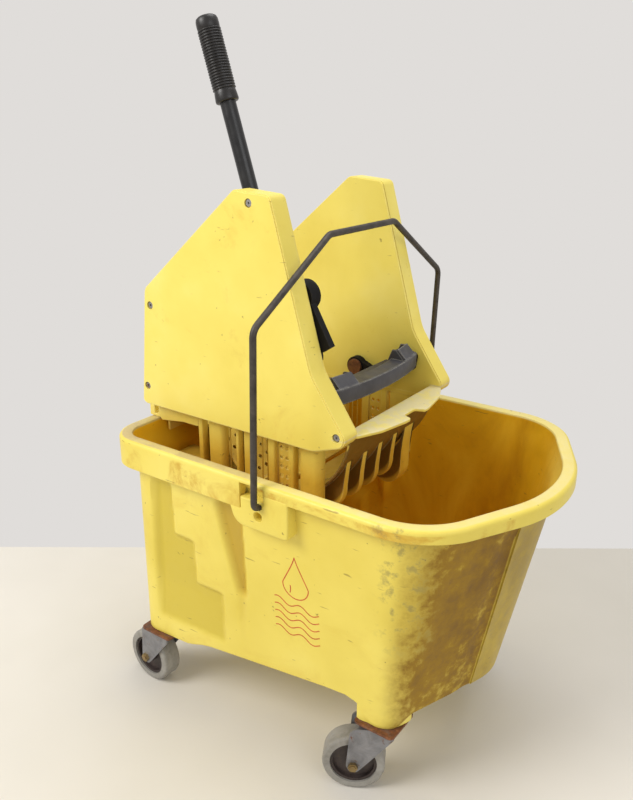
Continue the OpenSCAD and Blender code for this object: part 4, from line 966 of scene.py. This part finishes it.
def build_grille(material):
    """Fins that stand on the sweep under the lip, with straight fronts hooked back at their feet."""
    points, faces, deep = [], [], []
    fronts = [(51.0, 42.0), (45.0, 22.0), (39.0, 0.0), (36.5, -14.0), (35.0, -28.0)]
    fronts += [(12 + 22.5 * math.cos(math.radians(a)), -40 + 26 * math.sin(math.radians(a)))
               for a in np.linspace(8, -104, 13)]
    angles = np.radians(np.linspace(-7, -66, len(fronts)))
    for y, half, drop in FINS:
        start = len(points)
        for k, ((fx, fz), a) in enumerate(zip(fronts, angles)):
            low = drop * smooth((k - 3) / 4.0)
            back = np.array(on_sweep(a, 1)) + (0, low * 0.6)
            front = np.array([fx, RIM + fz + low])
            span = np.hypot(*(front - back))
            # from the wall to the rounded front edge: distance from it, half width, strength of the painted
            # shade and grime
            profile = ((span, half, 1), (min(9.0, span * 0.7), half, 1), (min(5.0, span * 0.5), half, 0.15),
                       (1.6, half, 0), (0.5, half - 0.7, 0), (0.0, half - 1.7, 0))
            ring = [(*(front + (back - front) * step / span), w, d) for step, w, d in profile]
            points += [(x, y - w, z) for x, z, w, d in ring] + [(x, y + w, z) for x, z, w, d in ring[::-1]]
            deep += [d for x, z, w, d in ring + ring[::-1]]
        faces += skinned(len(fronts), 2 * len(profile), start)
    # wall on the sweep behind the fins, painted dark as shade
    start, stations = len(points), np.radians(np.linspace(-6, -86, 24))
    for a in stations:
        for out, y in ((1.0, -SIDE_IN), (4.0, -SIDE_IN), (4.0, SIDE_IN), (1.0, SIDE_IN)):
            x, z = on_sweep(a, out)
            points.append((x, y, z))
            deep.append(1.0 if out > 2 else 0.35)
    faces += skinned(len(stations), 4, start)
    return mesh_object("front_grille", points, faces, material, "bucket", (), 34, {"deep": deep})


# ---- press plate

PLATE_LOW = RIM + 72.5
PLATE_TOP = RIM + 93.0
PLATE_HALF = 101.5
PLATE_BEND = 94.0    # where its ends begin to round back
TOWER_IN = 58.0


def bow_x(y):
    """Front of the press plate at y, rounded back at its ends."""
    x = 36.5 - 9.5 * (y / 93.5) ** 2
    over = (abs(y) - PLATE_BEND) / (PLATE_HALF - PLATE_BEND + 0.6)
    return x - (9.0 * (1 - math.sqrt(1 - over * over)) if over > 0 else 0.0)


def build_press_plate(material):
    """The press plate: a bowed front wall, a deck and a floor behind it, and a tower at each end."""
    b = Build()
    bottom, top = PLATE_LOW, PLATE_TOP

    def skin(y_values, profile):
        b.grid([[(x, y, z) for x, z in profile(y)] for y in y_values])

    def wall(y):
        x = bow_x(y)
        low = bottom + 8.0 * max(0.0, (abs(y) - 84) / 18) ** 2
        return [(x - 1.2, low), (x, low + 1.2), (x, top - 1.2), (x - 0.5, top - 0.3), (x - 1.4, top),
                (x - 3.2, top), (x - 4.2, top - 1), (x - 4.2, low + 0.8), (x - 3.4, low)]

    skin(np.linspace(-PLATE_HALF, PLATE_HALF, 61), wall)

    def deck(y):
        x = bow_x(y) - 2.5
        return [(x, top - 6), (x, top - 2.2), (x - 22, top - 2.2), (x - 25, top - 4), (x - 25, top - 6)]

    skin(np.linspace(-TOWER_IN - 1, TOWER_IN + 1, 33), deck)

    def under(y):
        x = bow_x(y) - 2.5
        low = bottom + 0.6
        return [(x, low), (x, low + 3.4), (-20, low + 3.4), (-22, low + 1.9), (-22, low)]

    skin(np.linspace(-92, 92, 31), under)

    def slope(y):
        x = bow_x(y) - 0.8
        return [(x, top - 1.4), (x - 13.2, top + 11.6), (x - 14.4, top + 12.2),
                (x - 16.4, top + 11.4), (x - 17, top + 10.4), (x - 4.2, top - 2.5)]

    for side in (-1, 1):
        skin(side * np.linspace(TOWER_IN, 92.0, 13), slope)
        for y in (side * (TOWER_IN + 1.4), side * 90.8):
            x = bow_x(y)
            b.side([(x - 2, bottom + 2), (x - 2, top - 1), (x - 14.5, top + 11.4),
                    (x - 24, top + 10.6), (x - 30, top - 4), (x - 30, bottom + 2)],
                   y - 1.5, y + 1.5, 0.5)
    return b.finish("press_tray", material, "press", ("press_plate",), 30)


# ---- hand grip

LEVER_REACH, LEVER_ANGLE = 152.0, 72.3    # the lever's shaft from the press's pivot
LEVER_LEAN = 17.8
TUBE_OFFSET, TUBE_Y = 40.5, -92.0         # the tube beside the lever's shaft
GRIP_TOP, GRIP_LENGTH = 335.5, 97.0       # along the tube
GRIP_RIBS = 22


def build_grip(material):
    """Ribbed grip: a smooth domed top, rings down its length and a plain flared collar."""
    b = Build()
    lean, rise = math.radians(LEVER_LEAN), math.radians(LEVER_ANGLE)
    line = (-math.sin(lean), 0.0, math.cos(lean))
    lever = (PIVOT[0] + LEVER_REACH * math.cos(rise), PIVOT[1] + LEVER_REACH * math.sin(rise))
    foot = (lever[0] - TUBE_OFFSET * math.cos(lean), TUBE_Y, lever[1] - TUBE_OFFSET * math.sin(lean))
    low, top = GRIP_TOP - GRIP_LENGTH, GRIP_TOP
    profile = [(9.7, low), (12.6, low), (13.6, low + 0.8), (13.9, low + 2.5), (13.3, low + 9),
               (12.9, low + 12)]
    start, end = low + 13, top - 15
    pitch = (end - start) / GRIP_RIBS
    for i in range(GRIP_RIBS):
        for r, h in ((12.5, 0.0), (12.5, 0.28), (13.6, 0.42), (13.9, 0.62), (13.6, 0.84)):
            profile.append((r, start + (i + h) * pitch))
    profile += [(12.7, end), (13.2, end + 1), (13.5, top - 10), (13.2, top - 5), (12.2, top - 2.2),
                (10.0, top - 0.6), (6.0, top), (0.5, top + 0.1)]
    b.lathe(profile, foot, line, 56)
    return b.finish("ribbed_grip", material, "lever", ("hand_grip",), 50)


# ---- stage, camera and light

CAMERA_PLACE = (0.5302, -0.8401, 0.8165)
CAMERA_TURN = [math.radians(a) for a in (69.865, -0.184, 35.448)]
FLOOR_END = 0.385    # metres behind the origin, along the camera's heading


def build_camera():
    data = bpy.data.cameras.new("camera")
    data.sensor_fit = "VERTICAL"
    data.sensor_height = 24
    data.lens = 23.835
    camera = placed("camera", data)
    camera.location = CAMERA_PLACE
    camera.rotation_euler = CAMERA_TURN
    bpy.context.scene.camera = camera


def area_light(name, place, size, watts, colour):
    """A soft round lamp that faces the middle of the object."""
    data = bpy.data.lights.new(name, "AREA")
    data.shape = "DISK"
    data.size = size
    data.energy = watts
    data.color = colour
    lamp = placed(name, data)
    lamp.location = place
    lamp.rotation_euler = (Vector((0, 0, 0.4)) - Vector(place)).to_track_quat("-Z", "Y").to_euler()


def sheet(name, corners, low, high):
    """A flat part of the stage, between two pale colours."""
    mesh = bpy.data.meshes.new(name)
    mesh.from_pydata(corners, [], [(0, 1, 2, 3)])
    made = placed(name, mesh)
    n = Nodes("pale_" + name)
    n.colour(n.ramp(n.noise(3.0, 3.0), [(0.3, low), (0.7, high)]))
    made.data.materials.append(n.set(Roughness=0.9))


def build_stage():
    """Pale floor and backdrop, soft ambient light and three lamps."""
    # the floor ends behind the object, where the plain backdrop of the world begins
    heading = CAMERA_TURN[2]
    away = Vector((-math.sin(heading), math.cos(heading), 0))
    across = Vector((away.y, -away.x, 0)) * 6
    far, near = away * FLOOR_END, away * -5
    sheet("floor", (near - across, near + across, far + across, far - across),
          (216, 211, 201), (222, 217, 208))

    n = Nodes("studio", "worlds")
    bpy.context.scene.world = n.owner
    ambient, shown = n.tree.nodes["Background"], n.new("Background")
    for glow, colour, strength in ((ambient, (1.0, 0.98, 0.95, 1), 0.55), (shown, srgb(224, 221, 218), 1.0)):
        glow.inputs[0].default_value = colour
        glow.inputs[1].default_value = strength
    rays = n.new("LightPath").outputs
    seen = rays["Is Camera Ray"]
    for kind in ("Is Glossy Ray", "Is Transmission Ray"):
        seen = n.maths("MAXIMUM", seen, rays[kind])
    blend = n.new("MixShader")
    for output, at in ((seen, 0), (ambient.outputs[0], 1), (shown.outputs[0], 2)):
        n.link(output, blend.inputs[at])
    n.link(blend.outputs[0], n.tree.nodes["World Output"].inputs[0])

    area_light("key", (-1.3, -2.2, 2.3), 1.6, 63, (1.0, 0.985, 0.96))
    area_light("fill", (2.4, -0.9, 1.5), 2.0, 16, (0.95, 0.97, 1.0))
    area_light("top", (0.2, 0.6, 3.0), 2.0, 30, (1.0, 1.0, 1.0))


# ---- all together

bpy.context.scene.view_settings.view_transform = "Standard"
build_camera()
build_stage()

BUCKET_YELLOW = bucket_plastic()
build_bucket(BUCKET_YELLOW)
build_bosses(BUCKET_YELLOW)
build_print(red_print())
WRINGER_YELLOW = wringer_plastic()
LOOKS = dress_nodes(WRINGER_YELLOW)
build_basket(WRINGER_YELLOW)
build_grille(WRINGER_YELLOW)
build_press_plate(LOOKS["press_plate"])
build_grip(LOOKS["hand_grip"])
